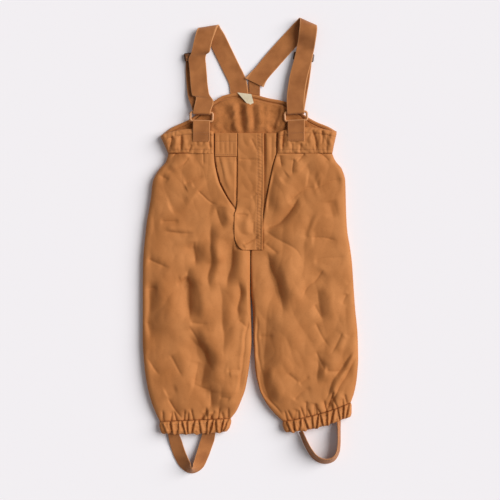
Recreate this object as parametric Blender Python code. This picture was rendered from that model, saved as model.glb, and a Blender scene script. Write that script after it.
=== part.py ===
"""Child's thermal trousers, laid flat on their back, built from the pieces they are cut from.

The surface they lie on is z = 0. +Y runs from the hems up to the braces and +X is the wearer's
left. Every size and table is in millimetres and is turned into metres as a mesh is made.
Two padded legs lie front on back, with the front drawn into a gathered band at each side of a
flat fly. A bib rises behind the band, and two webbing braces run from its centre to two rings.
"""

import math
from typing import NamedTuple

import bmesh
import bpy
import numpy as np
from mathutils import Vector
from mathutils.bvhtree import BVHTree

MM = 0.001
COLLECTION = "thermal_trousers"

# Walls and gaps.
PAD_WALL = 6.0          # shell, wadding and lining of a leg, uncompressed
SEAM_WALL = 2.5         # the same wall pinched at a seam
CASING_WALL = 5.0       # turned casing round an elastic
BIB_WALL = 4.0
LINING_WALL = 2.5
FLY_WALL = 2.8
FLAP_WALL = 2.3
FACING_WALL = 2.0
LABEL_WALL = 0.8
WEBBING_WALL = 1.6
SEAM_GAP = 0.3          # what two touching pieces keep between them
LAY_GAP = 0.35          # what a piece keeps above the one that it lies on
INNER_GAP = 0.45        # what a leg's inside keeps above the back and the fly

# Levels above the surface that the garment lies on.
FRONT_SEAM_Z = 7.65     # the front's side of the side seams
BACK_SEAM_Z = 7.35      # the back's side of the side seams
CENTRE_BACK_Z = 3.0     # the pinched seam down the middle of the back
LINING_Z = BIB_WALL + SEAM_GAP
FLY_Z = 7.2
FLY_TOP = FLY_Z + FLY_WALL
ON_FLY_Z = FLY_TOP + SEAM_GAP   # the flap and the facing lie on the fly
HIGH_ABOVE = 100.0              # clear above the whole garment

# How far in from its edge a panel has rolled over.
SIDE_ROLL = 8.0
PLEAT_ROLL = 5.0
ROLL_STEPS = (0.0, 0.07, 0.3, 0.62, 1.0)
FOLD_FADE = 12.0        # folds die away over this distance from a panel's sides

WAIST_Y = 147.0         # seam between the legs and the band
CROTCH_Y = -70.0
SIDES = ("right", "left")


class Section(NamedTuple):
    """A section across a panel: its two ends in plan, its bow, its crown and its inner edge."""

    outer_x: float
    outer_y: float
    inner_x: float
    inner_y: float
    bow: float          # how much further down the leg its middle lies than its ends
    crown: float        # height of its top
    inner_edge: float   # height of its inner edge


class Fold(NamedTuple):
    """A soft ridge, or a trough where its height is negative, along a slightly bent line."""

    start_x: float
    start_y: float
    end_x: float
    end_y: float
    bend: float         # how far the line's middle swings to its left
    reach: float        # from the line to where the fold has almost died away
    height: float


class Station(NamedTuple):
    """A place along a strap: its middle, how its width points, its tilt and its width."""

    x: float
    y: float
    z: float
    heading: float      # degrees from +X, in plan
    tilt: float         # degrees that the width's far end is raised
    width: float


class PlanRow(NamedTuple):
    """A row of a flat piece: its height in plan and its left and right ends."""

    y: float
    left: float
    right: float


# The front of each leg, from the waist seam down to the cuff.
FRONT_LEG = {
    "right": (
        Section(-131.0, 147.0, -58.4, 147.0, 0.0, 15.0, 12.0),
        Section(-135.0, 134.0, -57.6, 134.0, 0.0, 15.6, 12.0),
        Section(-146.0, 122.0, -55.5, 122.0, 0.0, 16.2, 12.0),
        Section(-156.0, 102.0, -50.4, 102.0, 0.0, 16.8, 12.3),
        Section(-159.0, 77.0, -37.6, 77.0, 0.0, 16.8, 12.3),
        Section(-162.4, 56.0, -22.4, 56.0, 0.0, 16.0, 12.0),
        Section(-165.6, 38.0, -3.2, 38.0, 0.0, 15.6, 11.4),
        Section(-168.0, 16.0, -0.6, 16.0, 0.0, 15.5, 10.9),
        Section(-171.5, -26.0, -0.6, -26.0, 0.0, 15.8, 9.5),
        Section(-172.0, -70.0, -0.6, -70.0, 0.0, 16.4, 8.2),
        Section(-172.0, -106.0, 0.6, -106.0, 0.0, 17.0, 7.8),
        Section(-172.0, -150.0, 1.6, -150.0, 0.0, 17.4, 7.65),
        Section(-169.3, -192.0, -2.1, -192.0, 0.0, 17.4, 7.65),
        Section(-164.0, -227.0, -8.0, -227.0, 0.0, 17.0, 7.65),
        Section(-157.6, -250.0, -16.3, -250.0, 0.0, 16.0, 7.65),
        Section(-151.0, -266.5, -22.6, -263.5, 0.0, 14.6, 7.65),
        Section(-144.8, -279.8, -31.2, -274.8, 0.0, 13.2, 7.65),
    ),
    "left": (
        Section(130.4, 147.0, 42.1, 147.0, 0.0, 15.0, 12.0),
        Section(135.2, 136.0, 38.9, 137.0, 0.0, 15.6, 12.0),
        Section(145.6, 123.0, 35.7, 125.0, 0.0, 16.2, 12.0),
        Section(151.2, 104.0, 31.7, 105.6, 0.0, 16.8, 12.3),
        Section(152.0, 77.0, 26.1, 77.0, 0.0, 16.8, 12.3),
        Section(152.8, 50.0, 21.5, 50.0, 0.0, 16.0, 12.0),
        Section(154.4, 24.0, 16.0, 24.0, 0.0, 15.6, 11.4),
        Section(158.4, 0.0, 2.2, 0.0, 0.0, 15.5, 10.6),
        Section(161.6, -24.0, 0.6, -27.0, 0.0, 15.8, 9.5),
        Section(164.5, -65.6, 1.1, -72.0, 0.0, 16.4, 8.2),
        Section(166.9, -99.0, 4.0, -107.0, 0.0, 17.0, 7.8),
        Section(170.9, -142.0, 5.0, -152.0, 0.0, 17.4, 7.65),
        Section(171.8, -179.0, 7.2, -193.6, 0.0, 17.4, 7.65),
        Section(169.6, -211.0, 14.4, -229.0, 0.0, 17.0, 7.65),
        Section(165.6, -233.0, 24.8, -250.0, 0.5, 16.0, 7.65),
        Section(162.6, -242.5, 37.6, -266.4, 2.0, 14.6, 7.65),
        Section(160.0, -249.6, 51.4, -279.4, 4.0, 13.2, 7.65),
    ),
}

# The largest folds of each leg's front.
LEG_FOLDS = {
    "right": (
        Fold(-97.0, 101.0, -70.0, 118.0, 3.0, 10.0, 2.0),
        Fold(-84.0, 90.0, -57.0, 64.0, 5.0, 8.0, -2.0),
        Fold(-46.0, 68.0, -46.0, 34.0, 0.0, 9.0, -1.5),
        Fold(-161.0, -6.0, -105.0, -10.0, 4.0, 13.0, 2.0),
        Fold(-159.0, -22.0, -130.0, -34.0, 3.0, 7.0, -2.0),
        Fold(-87.0, 4.0, -86.0, -70.0, -4.0, 12.0, -2.2),
        Fold(-62.0, 12.0, -70.0, -88.0, 6.0, 12.0, 2.8),
        Fold(-105.0, -80.0, -97.0, -198.0, 6.0, 22.0, 2.6),
        Fold(-86.0, -68.0, -70.0, -166.0, 5.0, 11.0, -2.4),
        Fold(-62.0, -118.0, -34.0, -186.0, 6.0, 12.0, 2.8),
        Fold(-65.0, -158.0, -62.0, -228.0, -4.0, 12.0, -2.6),
        Fold(-17.0, -60.0, -15.0, -122.0, 0.0, 7.0, -2.0),
        Fold(-130.0, -171.0, -110.0, -210.0, -4.0, 7.0, -2.0),
        Fold(-162.0, -195.0, -138.0, -208.0, -3.0, 7.0, -2.0),
        Fold(-132.0, -240.0, -106.0, -276.0, -3.0, 7.0, -2.4),
    ),
    "left": (
        Fold(34.0, 108.0, 38.0, 60.0, 0.0, 9.0, -1.8),
        Fold(62.0, 74.0, 146.0, 112.0, -7.0, 7.0, -2.2),
        Fold(72.0, 56.0, 98.0, 16.0, 6.0, 20.0, 2.0),
        Fold(26.0, 30.0, 78.0, -12.0, 9.0, 8.0, -2.2),
        Fold(100.0, 15.0, 140.0, 9.0, 0.0, 7.0, -1.6),
        Fold(27.0, -4.0, 55.0, -88.0, 6.0, 11.0, -2.6),
        Fold(13.0, -28.0, 25.0, -120.0, 5.0, 12.0, 2.6),
        Fold(76.0, -26.0, 66.0, -118.0, 5.0, 13.0, 2.6),
        Fold(86.0, -84.0, 116.0, -40.0, 3.0, 7.0, -2.0),
        Fold(111.0, -70.0, 113.0, -164.0, -5.0, 11.0, -2.2),
        Fold(79.0, -132.0, 73.0, -202.0, 0.0, 18.0, 2.6),
        Fold(30.0, -148.0, 36.0, -196.0, 0.0, 12.0, -2.0),
        Fold(108.0, -176.0, 115.0, -220.0, -4.0, 9.0, -2.2),
        Fold(164.0, -172.0, 122.0, -250.0, 5.0, 7.0, -2.4),
        Fold(22.0, -204.0, 38.0, -248.0, 0.0, 8.0, -2.0),
    ),
}

# The gathered band at each side of the fly, from its top edge down to the waist seam.
WAISTBAND = {
    "right": (
        Section(-144.0, 175.6, -58.6, 182.6, -7.0, 14.0, 12.0),
        Section(-142.5, 172.0, -58.6, 179.0, -6.0, 15.8, 12.0),
        Section(-137.0, 160.5, -58.6, 164.0, -2.5, 16.2, 12.0),
        Section(-131.6, 147.5, -58.6, 147.4, 0.0, 15.2, 12.0),
    ),
    "left": (
        Section(137.6, 180.6, 43.6, 181.6, -8.0, 14.0, 12.0),
        Section(136.9, 177.0, 43.6, 178.0, -7.0, 15.8, 12.0),
        Section(133.6, 162.5, 43.2, 163.0, -2.5, 16.2, 12.0),
        Section(130.4, 147.5, 42.6, 147.4, 0.0, 15.2, 12.0),
    ),
}

# The gathers of each band, named by their place along the waist seam and at the top edge.
BAND_GATHERS = {
    "right": (
        Fold(-130.5, 176.0, -124.5, 149.0, -2.0, 3.4, -1.8),
        Fold(-112.0, 184.0, -109.5, 148.0, 1.0, 3.2, -1.8),
        Fold(-100.0, 176.0, -103.0, 148.0, -1.5, 3.0, -1.2),
        Fold(-120.0, 183.0, -117.5, 150.0, 0.0, 3.6, 0.8),
        Fold(-62.5, 182.0, -62.0, 148.0, 0.0, 3.0, -1.0),
    ),
    "left": (
        Fold(52.0, 184.0, 50.5, 148.0, 0.0, 3.2, -1.8),
        Fold(80.0, 160.0, 79.0, 148.0, 0.0, 3.0, -1.4),
        Fold(96.0, 184.0, 103.0, 150.0, 3.0, 3.4, -1.8),
        Fold(111.0, 184.0, 116.0, 158.0, 2.0, 3.2, -1.5),
        Fold(123.0, 182.0, 124.0, 150.0, 0.0, 3.6, 0.8),
    ),
}

# The elastic casing at each ankle, from the leg's hem down to its lower edge.
CUFF = {
    "right": (
        Section(-144.6, -280.2, -31.4, -275.2, 0.0, 12.6, 7.65),
        Section(-145.4, -284.0, -30.6, -279.0, 1.0, 13.8, 7.65),
        Section(-144.4, -292.0, -33.0, -289.0, 2.2, 14.0, 7.65),
        Section(-141.6, -298.4, -37.9, -296.0, 2.6, 12.0, 7.65),
    ),
    "left": (
        Section(160.1, -250.0, 51.5, -279.8, 4.0, 12.6, 7.65),
        Section(161.4, -254.0, 51.0, -284.0, 4.2, 13.8, 7.65),
        Section(161.4, -265.0, 53.6, -293.0, 4.8, 14.0, 7.65),
        Section(160.0, -271.0, 57.0, -297.6, 5.0, 12.0, 7.65),
    ),
}
CUFF_GATHERS = 12
CUFF_GATHER_HEIGHT = 1.1
CUFF_BACK_EDGE = 7.35

# The top edge of the bib, from the wearer's right side to their left.
BIB_TOP = (
    (-144.0, 176.0), (-129.0, 188.0), (-100.0, 201.6), (-78.0, 217.6), (-58.0, 232.0),
    (-45.0, 240.0), (-20.0, 244.6), (7.0, 241.6), (28.0, 236.4), (56.0, 230.6),
    (74.0, 219.4), (88.0, 208.6), (106.0, 198.4), (125.0, 190.6), (137.6, 183.0),
)
BIB_FOOT = (-131.4, 130.6)      # the two ends of the bib at the waist seam
BIB_FOOT_Y = WAIST_Y + SEAM_GAP
BIB_HEM = 5.0                   # depth of the turned hem along the top edge
BIB_HEM_RISE = 2.4
BIB_HEM_STEP = 0.5              # width of the step up to the hem
BIB_COLUMNS = 19
LINING_SPAN = (-118.0, 116.0)
LINING_FOOT_Y = 166.0
LINING_INSET = 7.6              # from the bib's top edge down to the lining's
LINING_FOLDS = (
    Fold(-27.0, 228.0, -22.0, 181.0, 0.0, 7.0, 2.6),
    Fold(-9.0, 230.0, -4.0, 181.0, 3.0, 7.0, 3.0),
    Fold(13.0, 228.0, 16.0, 181.0, 0.0, 8.0, 2.4),
    Fold(52.0, 223.0, 39.0, 182.0, 0.0, 9.0, 2.8),
)

FLY_ROWS = (
    PlanRow(180.0, -60.0, 42.5), PlanRow(147.0, -65.0, 48.0), PlanRow(102.0, -57.0, 38.0),
    PlanRow(77.0, -45.0, 32.5), PlanRow(56.0, -30.0, 28.0), PlanRow(38.0, -13.0, 25.0),
    PlanRow(16.0, -10.0, 20.0), PlanRow(-2.0, -8.0, 12.0),
)
FLY_MARGIN = 6.0                # how far past the fly the legs already rise over it
FLAP_ROWS = (
    PlanRow(180.0, -20.8, 21.0), PlanRow(120.0, -20.8, 21.6), PlanRow(72.0, -21.4, 21.0),
    PlanRow(58.0, -22.8, 20.4), PlanRow(50.0, -25.6, 20.0), PlanRow(21.0, -26.0, 19.6),
    PlanRow(-6.4, -25.4, 19.4),
)
FLAP_CORNER = (16.0, 27.0)      # half-axes of its rounded lower corner
FLAP_CORNER_END = 0.985         # how far round its curve the corner goes
FACING_SPAN = (-57.0, -21.4)
FACING_Y = (142.4, 180.0)

# Hardware.
RING_SIZE = (39.0, 17.3)        # outside width and height
RING_BAR = 3.6
RING_CORNER = 4.0
RING_Z = 12.3
RING_PLACE = {"right": (-77.9, 205.8, -2.0), "left": (72.2, 206.4, 3.0)}
SLIDER_SIZE = (33.0, 12.8)
SLIDER_WALL = 2.2
SLIDER_SLOT = (28.8, 3.2)
SLIDER_MIDDLE_BAR = 2.4
SLIDER_CORNER = 2.2
SLIDER_Z = 4.2
SLIDER_PLACE = {"right": (-89.6, 303.2, 8.0), "left": (84.8, 302.0, -8.0)}
WEBBING_WIDTH = 28.0
WRAP_CLEARANCE = 0.3
TAB_WIDTH = 27.0
TAB_FOOT_Y = {"right": 166.0, "left": 166.8}
TAB_TAIL = 8.0                  # the tab's short end behind the ring
TAB_SLOPE = (9.0, 14.0)         # where the tab comes down from the ring on to the band
TAB_MARGIN = 2.0
BRACE_SPACING = 9.0
TAB_SPACING = 5.0

# Each brace, from its end at the centre back, over the fold, and down to its ring.
BRACE_FRONT = {
    "right": (
        Station(-17.8, 245.9, 1.2, 1.0, 0.0, 29.2),
        Station(-20.6, 262.0, 1.1, 18.0, 0.0, 28.4),
        Station(-31.2, 285.0, 1.0, 26.0, 0.0, 28.0),
        Station(-43.8, 311.0, 1.0, 26.0, 0.0, 28.0),
        Station(-55.8, 335.0, 1.2, 22.0, 0.0, 28.5),
        Station(-63.6, 346.0, 2.2, 14.0, 0.0, 31.0),
        Station(-66.6, 350.4, 5.6, 9.0, 0.0, 32.6),
        Station(-69.0, 346.6, 9.4, 2.0, 0.0, 31.5),
        Station(-73.4, 334.0, 11.2, -9.0, 0.0, 29.0),
        Station(-77.1, 320.0, 12.4, -9.0, 0.0, 28.4),
        Station(-78.8, 311.5, 12.6, -9.0, 0.0, 28.4),
        Station(-80.6, 307.4, 11.6, 0.0, 0.0, 28.0),
        Station(-84.2, 303.2, 9.8, 8.0, 0.0, 27.6),
        Station(-85.2, 299.4, 9.5, 4.0, 0.0, 27.4),
        Station(-84.5, 289.6, 9.4, 2.0, 0.0, 27.4),
        Station(-83.2, 273.6, 9.2, 3.0, 0.0, 27.4),
        Station(-82.0, 257.6, 9.6, 3.0, 0.0, 27.6),
        Station(-80.6, 247.0, 10.2, 3.0, 0.0, 27.6),
        Station(-79.2, 240.4, 10.6, 2.0, 0.0, 27.8),
        Station(-73.2, 234.4, 11.4, -11.0, 0.0, 28.4),
        Station(-73.4, 228.0, 12.8, -9.0, 0.0, 28.8),
        Station(-75.8, 219.8, 14.8, -4.0, 0.0, 28.2),
    ),
    "left": (
        Station(6.0, 260.8, 3.9, -26.0, 0.0, 33.0),
        Station(13.4, 270.6, 3.4, -40.0, 0.0, 28.4),
        Station(34.4, 296.2, 1.6, -42.0, 0.0, 28.0),
        Station(54.2, 318.6, 1.2, -42.0, 0.0, 28.0),
        Station(71.0, 337.0, 1.3, -38.0, 0.0, 28.0),
        Station(84.0, 351.0, 3.2, -31.0, 0.0, 28.4),
        Station(91.6, 357.8, 8.4, -24.0, 0.0, 28.8),
        Station(92.4, 352.0, 14.0, -16.0, 0.0, 28.6),
        Station(91.2, 339.0, 14.4, -9.5, 0.0, 28.6),
        Station(90.2, 331.0, 12.9, -9.0, 10.0, 28.6),
        Station(88.6, 320.5, 11.0, -9.0, 9.0, 28.4),
        Station(87.2, 313.0, 9.8, -8.0, 0.0, 28.0),
        Station(84.6, 301.0, 9.5, -8.0, 0.0, 28.0),
        Station(81.6, 289.0, 9.4, -9.0, 0.0, 28.4),
        Station(77.1, 272.0, 9.4, -8.0, 0.0, 28.6),
        Station(73.9, 254.4, 9.9, -6.0, 0.0, 28.6),
        Station(71.9, 237.0, 11.7, -3.0, 0.0, 28.4),
        Station(71.6, 223.0, 14.6, 1.0, 0.0, 28.0),
    ),
}

# The doubled end of each brace, from behind its ring up to its slider.
BRACE_RETURN = {
    "right": (
        Station(-80.6, 223.0, 9.0, 0.0, 0.0, 27.6),
        Station(-85.8, 238.0, 6.0, 3.0, 0.0, 27.6),
        Station(-88.4, 258.0, 3.0, 3.0, 0.0, 27.6),
        Station(-89.8, 282.0, 1.9, 4.0, 0.0, 27.6),
    ),
    "left": (
        Station(73.6, 226.0, 8.6, -2.0, 0.0, 27.6),
        Station(76.4, 242.0, 4.8, -5.0, 0.0, 27.6),
        Station(80.2, 264.0, 2.4, -8.0, 0.0, 27.6),
        Station(83.2, 286.0, 1.9, -8.0, 0.0, 27.6),
    ),
}
SLIDER_TAIL = 6.0               # the brace's end, turned back over the slider's middle bar

PATCH_SPAN = (-2.6, 15.2)
PATCH_Y = (244.0, 266.0)
PATCH_Z = 0.9
LABEL_CORNERS = ((-21.0, 244.8), (1.2, 242.2), (5.0, 228.2), (-2.8, 224.0))
LABEL_HEIGHTS = (7.3, 7.3, 8.6, 10.4)

LOOP_WALL = 1.4
LOOP_SPACING = 4.5
LOOP_REST_Z = 0.1               # the lowest that a foot loop hangs

# Each foot loop, from one side of its cuff round to the other.
FOOT_LOOP = {
    "right": (
        Station(-122.4, -301.8, 6.6, 2.0, 8.0, 18.5),
        Station(-119.8, -311.4, 4.6, 8.0, 10.0, 20.4),
        Station(-116.6, -322.6, 3.8, 14.0, 15.0, 21.0),
        Station(-111.0, -336.6, 5.0, 21.0, 22.0, 21.6),
        Station(-103.6, -349.4, 6.8, 36.0, 34.0, 22.0),
        Station(-93.6, -358.2, 10.0, 82.0, 62.0, 22.0),
        Station(-84.6, -351.0, 7.6, 140.0, 40.0, 22.0),
        Station(-78.0, -336.8, 5.6, 160.0, 26.0, 22.0),
        Station(-72.0, -319.4, 4.2, 167.0, 16.0, 22.0),
        Station(-68.2, -307.6, 4.8, 173.0, 10.0, 22.0),
        Station(-66.8, -300.2, 6.6, 177.0, 6.0, 21.0),
    ),
    "left": (
        Station(81.8, -299.6, 7.6, 32.0, 62.0, 14.0),
        Station(84.2, -305.2, 8.8, 31.0, 68.0, 18.0),
        Station(88.4, -314.4, 10.2, 31.0, 70.0, 21.5),
        Station(94.2, -325.0, 10.4, 36.0, 69.0, 22.0),
        Station(101.8, -335.2, 10.2, 48.0, 66.0, 22.0),
        Station(111.4, -341.6, 10.0, 70.0, 64.0, 22.0),
        Station(121.8, -343.2, 10.0, 92.0, 64.0, 22.0),
        Station(131.4, -340.0, 10.2, 122.0, 67.0, 22.0),
        Station(138.2, -331.0, 10.6, 152.0, 73.0, 22.0),
        Station(140.9, -317.6, 10.8, 173.0, 76.0, 22.0),
        Station(141.2, -301.6, 10.4, 180.0, 76.0, 21.0),
        Station(141.1, -288.4, 9.0, 180.0, 72.0, 17.0),
        Station(141.0, -282.8, 8.0, 180.0, 66.0, 14.0),
    ),
}

COLOURS = {
    "shell": (0.40, 0.155, 0.050, 0.50, 0.0),
    "lining": (0.34, 0.120, 0.040, 0.90, 0.0),
    "webbing": (0.37, 0.135, 0.045, 0.85, 0.0),
    "plastic": (0.58, 0.265, 0.115, 0.35, 0.0),
    "label": (0.64, 0.520, 0.360, 0.80, 0.0),
}


def clear_scene():
    """Remove every object that the scene starts with."""
    for stale in list(bpy.data.objects):
        bpy.data.objects.remove(stale, do_unlink=True)


def garment_collection():
    """Return a new collection for the garment, linked to the scene."""
    collection = bpy.data.collections.new(COLLECTION)
    bpy.context.scene.collection.children.link(collection)
    return collection


def finish_material(node, finish):
    """Return the material of one node, with the finish's colour, roughness and metallic value."""
    red, green, blue, roughness, metallic = COLOURS[finish]
    material = bpy.data.materials.new(f"{node}_{finish}")
    material.use_nodes = True
    shader = material.node_tree.nodes["Principled BSDF"]
    shader.inputs["Base Color"].default_value = (red, green, blue, 1.0)
    shader.inputs["Roughness"].default_value = roughness
    shader.inputs["Metallic"].default_value = metallic
    return material


def add_object(name, data, finish, collection):
    """Link an object that holds the mesh or curve, with its own material, and return it."""
    data.materials.append(finish_material(name, finish))
    piece = bpy.data.objects.new(name, data)
    collection.objects.link(piece)
    return piece


def smooth(share):
    """Ease a share between 0 and 1."""
    share = np.clip(share, 0.0, 1.0)
    return share * share * (3.0 - 2.0 * share)


def monotone(knots, values, at):
    """Read a smooth curve through the knots that never swings past them.

    values holds a row for each knot; the result holds a row for each place in at.
    """
    knots = np.asarray(knots, float)
    values = np.asarray(values, float)
    step = np.diff(knots)[:, None]
    slope = np.diff(values, axis=0) / step
    tangent = np.vstack([slope[:1], np.zeros_like(slope[1:]), slope[-1:]])
    before, after = slope[:-1], slope[1:]
    product = np.where(before * after > 0.0, before * after, 0.0)
    total = np.where(before * after > 0.0, before + after, 1.0)
    tangent[1:-1] = 2.0 * product / total
    at = np.asarray(at, float)
    index = np.clip(np.searchsorted(knots, at, side="right") - 1, 0, len(knots) - 2)
    width = step[index]
    share = ((at - knots[index]) / step[index, 0])[:, None]
    near, far = values[index], values[index + 1]
    leave, arrive = tangent[index] * width, tangent[index + 1] * width
    return (
        near * (1 + 2 * share) * (1 - share) ** 2
        + leave * share * (1 - share) ** 2
        + far * share ** 2 * (3 - 2 * share)
        - arrive * share ** 2 * (1 - share)
    )


def even_rows(table, place, count):
    """Read a table at evenly spaced places; place gives how far along it each row lies."""
    rows = np.array(table, float)
    at = np.linspace(place[0], place[-1], count)
    return monotone(place, rows, at)


def section_places(sections):
    """Return how far down the panel each section lies, by the middle of its two ends."""
    middles = np.array(
        [((s.outer_x + s.inner_x) / 2, (s.outer_y + s.inner_y) / 2) for s in sections]
    )
    ends = np.array([(s.outer_x, s.outer_y) for s in sections])
    steps = np.hypot(*np.diff(middles, axis=0).T) + np.hypot(*np.diff(ends, axis=0).T)
    return np.concatenate([[0.0], np.cumsum(steps)])


def fold_height(folds, x, y):
    """Return the height that the folds add at points of the plan."""
    total = np.zeros_like(x)
    for fold in folds:
        run_x, run_y = fold.end_x - fold.start_x, fold.end_y - fold.start_y
        length = math.hypot(run_x, run_y)
        away_x, away_y = x - fold.start_x, y - fold.start_y
        along = (away_x * run_x + away_y * run_y) / length ** 2
        across = (away_y * run_x - away_x * run_y) / length
        inside = np.clip(along, 0.0, 1.0)
        across = across - fold.bend * 4.0 * inside * (1.0 - inside)
        taper = np.sin(math.pi * inside) ** 0.7
        total += fold.height * taper * np.exp(-(across / fold.reach) ** 2)
    return total


def rolled(distance, roll):
    """Return how far a panel has turned over at a distance in from its edge, from 0 to 1."""
    share = np.clip(distance / roll, 0.0, 1.0)
    return np.sqrt(np.maximum(0.0, 1.0 - (1.0 - share) ** 2))


def across_distances(length, outer_roll, inner_roll, middle):
    """Return where the points of a section lie: close in its two rolls, even between them."""
    outer = [outer_roll * step for step in ROLL_STEPS]
    inner = [length - inner_roll * step for step in reversed(ROLL_STEPS)]
    between = np.linspace(outer_roll, length - inner_roll, middle + 2)[1:-1]
    return np.array(outer + list(between) + inner)


def plan_of(section, distance):
    """Return the plan points at distances along a section, bowed towards the hem."""
    start = np.array([section.outer_x, section.outer_y])
    run = np.array([section.inner_x, section.inner_y]) - start
    length = np.hypot(*run)
    run /= length
    down = np.array([run[1], -run[0]])
    if down[1] > 0:
        down = -down
    share = distance / length
    bow = section.bow * 4.0 * share * (1.0 - share)
    return start + run * distance[:, None] + down * bow[:, None]


def shell_grids(sections, rows, middle, wall, arch, folds=(), floor=None, outer_edge=FRONT_SEAM_Z,
                inner_roll=SIDE_ROLL, ripple=None):
    """Return the outer and the inner grid of a padded panel that rolls over at both sides.

    arch is the share of its height that the panel gains past its rolls. Folds move both faces,
    a ripple only the outer one, and the inner face stays above floor, a function of the plan.
    """
    places = section_places(sections)
    outer_grid, inner_grid = [], []
    for row in even_rows(sections, places, rows):
        section = Section(*row)
        length = math.hypot(
            section.inner_x - section.outer_x, section.inner_y - section.outer_y
        )
        distance = across_distances(length, SIDE_ROLL, inner_roll, middle)
        share = distance / length
        edge = outer_edge + (section.inner_edge - outer_edge) * share
        turned = rolled(distance, SIDE_ROLL) * rolled(length - distance, inner_roll)
        rise = 1.0 - arch * np.abs(2.0 * share - 1.0) ** 3
        height = edge + (section.crown - edge) * turned * rise
        core = section.crown - math.copysign(wall, section.crown - edge[0])
        scale = (core - edge) / (section.crown - edge)
        inside = SEAM_WALL + (length - 2.0 * SEAM_WALL) * share
        fade = np.clip(distance / FOLD_FADE, 0, 1) * np.clip((length - distance) / FOLD_FADE, 0, 1)
        plan = plan_of(section, distance)
        plan_inside = plan_of(section, inside)
        lift = fold_height(folds, plan[:, 0], plan[:, 1]) * fade
        top = height + lift
        if ripple is not None:
            top = top + ripple(share, len(outer_grid) / (rows - 1)) * turned
        below = edge + (height - edge) * scale + lift
        if floor is not None:
            below = np.maximum(below, np.minimum(floor(*plan_inside.T), edge))
        outer_grid.append(np.column_stack([plan, top]))
        inner_grid.append(np.column_stack([plan_inside, below]))
    return np.array(outer_grid), np.array(inner_grid)


def grid_faces(rows, columns, start):
    """Return the quads of a grid of vertices whose first index is start."""
    return [
        (start + r * columns + c, start + r * columns + c + 1,
         start + (r + 1) * columns + c + 1, start + (r + 1) * columns + c)
        for r in range(rows - 1)
        for c in range(columns - 1)
    ]


def rim_indices(rows, columns):
    """Return the vertices round a grid's edge, in order."""
    top = list(range(columns))
    right = [r * columns + columns - 1 for r in range(1, rows)]
    bottom = [(rows - 1) * columns + c for c in range(columns - 2, -1, -1)]
    left = [r * columns for r in range(rows - 2, 0, -1)]
    return top + right + bottom + left


def add_wall(name, upper, lower, finish, collection):
    """Make a closed wall between two grids of the same size, and return its object."""
    rows, columns = upper.shape[:2]
    count = rows * columns
    points = np.concatenate([upper.reshape(-1, 3), lower.reshape(-1, 3)]) * MM
    faces = grid_faces(rows, columns, 0) + grid_faces(rows, columns, count)
    rim = rim_indices(rows, columns)
    for here, there in zip(rim, rim[1:] + rim[:1]):
        faces.append((here, there, there + count, here + count))
    mesh = bpy.data.meshes.new(name)
    mesh.from_pydata(points.tolist(), [], faces)
    orient(mesh)
    return add_object(name, mesh, finish, collection)


def orient(mesh):
    """Turn a closed mesh's faces outwards and shade it smooth up to its sharp edges."""
    shape = bmesh.new()
    shape.from_mesh(mesh)
    bmesh.ops.recalc_face_normals(shape, faces=shape.faces)
    shape.to_mesh(mesh)
    shape.free()
    mesh.shade_smooth()
    mesh.set_sharp_from_angle(angle=math.radians(40.0))


def add_slab(name, plan, bottom, thickness, finish, collection):
    """Make a flat piece of even thickness over a plan grid, with its underside at bottom."""
    lower = np.dstack([plan, bottom])
    upper = lower + np.array([0.0, 0.0, thickness])
    return add_wall(name, upper, lower, finish, collection)


def under_front(x, y):
    """Return the lowest level for a leg's inner face: over the fly, or else over the back."""
    table = np.array(FLY_ROWS)[::-1]
    left = np.interp(y, table[:, 0], table[:, 1]) - FLY_MARGIN
    right = np.interp(y, table[:, 0], table[:, 2]) + FLY_MARGIN
    over_fly = (x > left) & (x < right) & (y > table[0, 0] - FLY_MARGIN)
    return np.where(over_fly, FLY_TOP, PAD_WALL) + INNER_GAP


def make_front_leg(side, collection):
    """Make a leg's front panel and return its outer grid."""
    outer, inner = shell_grids(
        FRONT_LEG[side], rows=29, middle=14, wall=PAD_WALL, arch=0.3,
        folds=LEG_FOLDS[side], floor=under_front, inner_roll=PLEAT_ROLL,
    )
    add_wall(f"front_leg_{side}", outer, inner, "shell", collection)
    return outer


def back_sections(side):
    """Return the back panel's sections: the front's outline, but straight down the middle."""
    sign = 1.0 if side == "left" else -1.0
    sections = []
    for section in FRONT_LEG[side]:
        above = section.inner_y > CROTCH_Y - SIDE_ROLL
        inner_x = sign * SEAM_GAP if above else section.inner_x
        closing = float(smooth((-30.0 - section.inner_y) / 70.0))
        inner_edge = CENTRE_BACK_Z + (BACK_SEAM_Z - CENTRE_BACK_Z) * closing
        sections.append(section._replace(inner_x=inner_x, crown=0.0, inner_edge=inner_edge))
    return sections


def make_back_leg(side, collection):
    """Make a leg's back panel, flat where it rests and rolled up at its sides."""
    outer, inner = shell_grids(
        back_sections(side), rows=17, middle=5, wall=PAD_WALL, arch=0.0,
        outer_edge=BACK_SEAM_Z,
    )
    add_wall(f"back_leg_{side}", inner, outer, "shell", collection)


def make_waistband(side, collection):
    """Make the gathered band at one side of the fly and return its outer grid."""
    outer, inner = shell_grids(
        WAISTBAND[side], rows=6, middle=24, wall=CASING_WALL, arch=0.1,
        folds=BAND_GATHERS[side], inner_roll=PLEAT_ROLL,
    )
    add_wall(f"waistband_{side}", outer, inner, "shell", collection)
    return outer


def cuff_ripple(share, down):
    """Return the height of the cuff's gathers: uneven waves that die away at both edges."""
    phase = CUFF_GATHERS * share + 0.35 * np.sin(9.0 * share) + 0.2 * np.sin(23.0 * share)
    uneven = 0.75 + 0.25 * np.sin(17.0 * share + 1.0)
    fade = math.sin(math.pi * down) ** 0.5
    return CUFF_GATHER_HEIGHT * uneven * np.cos(2 * math.pi * phase) * fade


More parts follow.
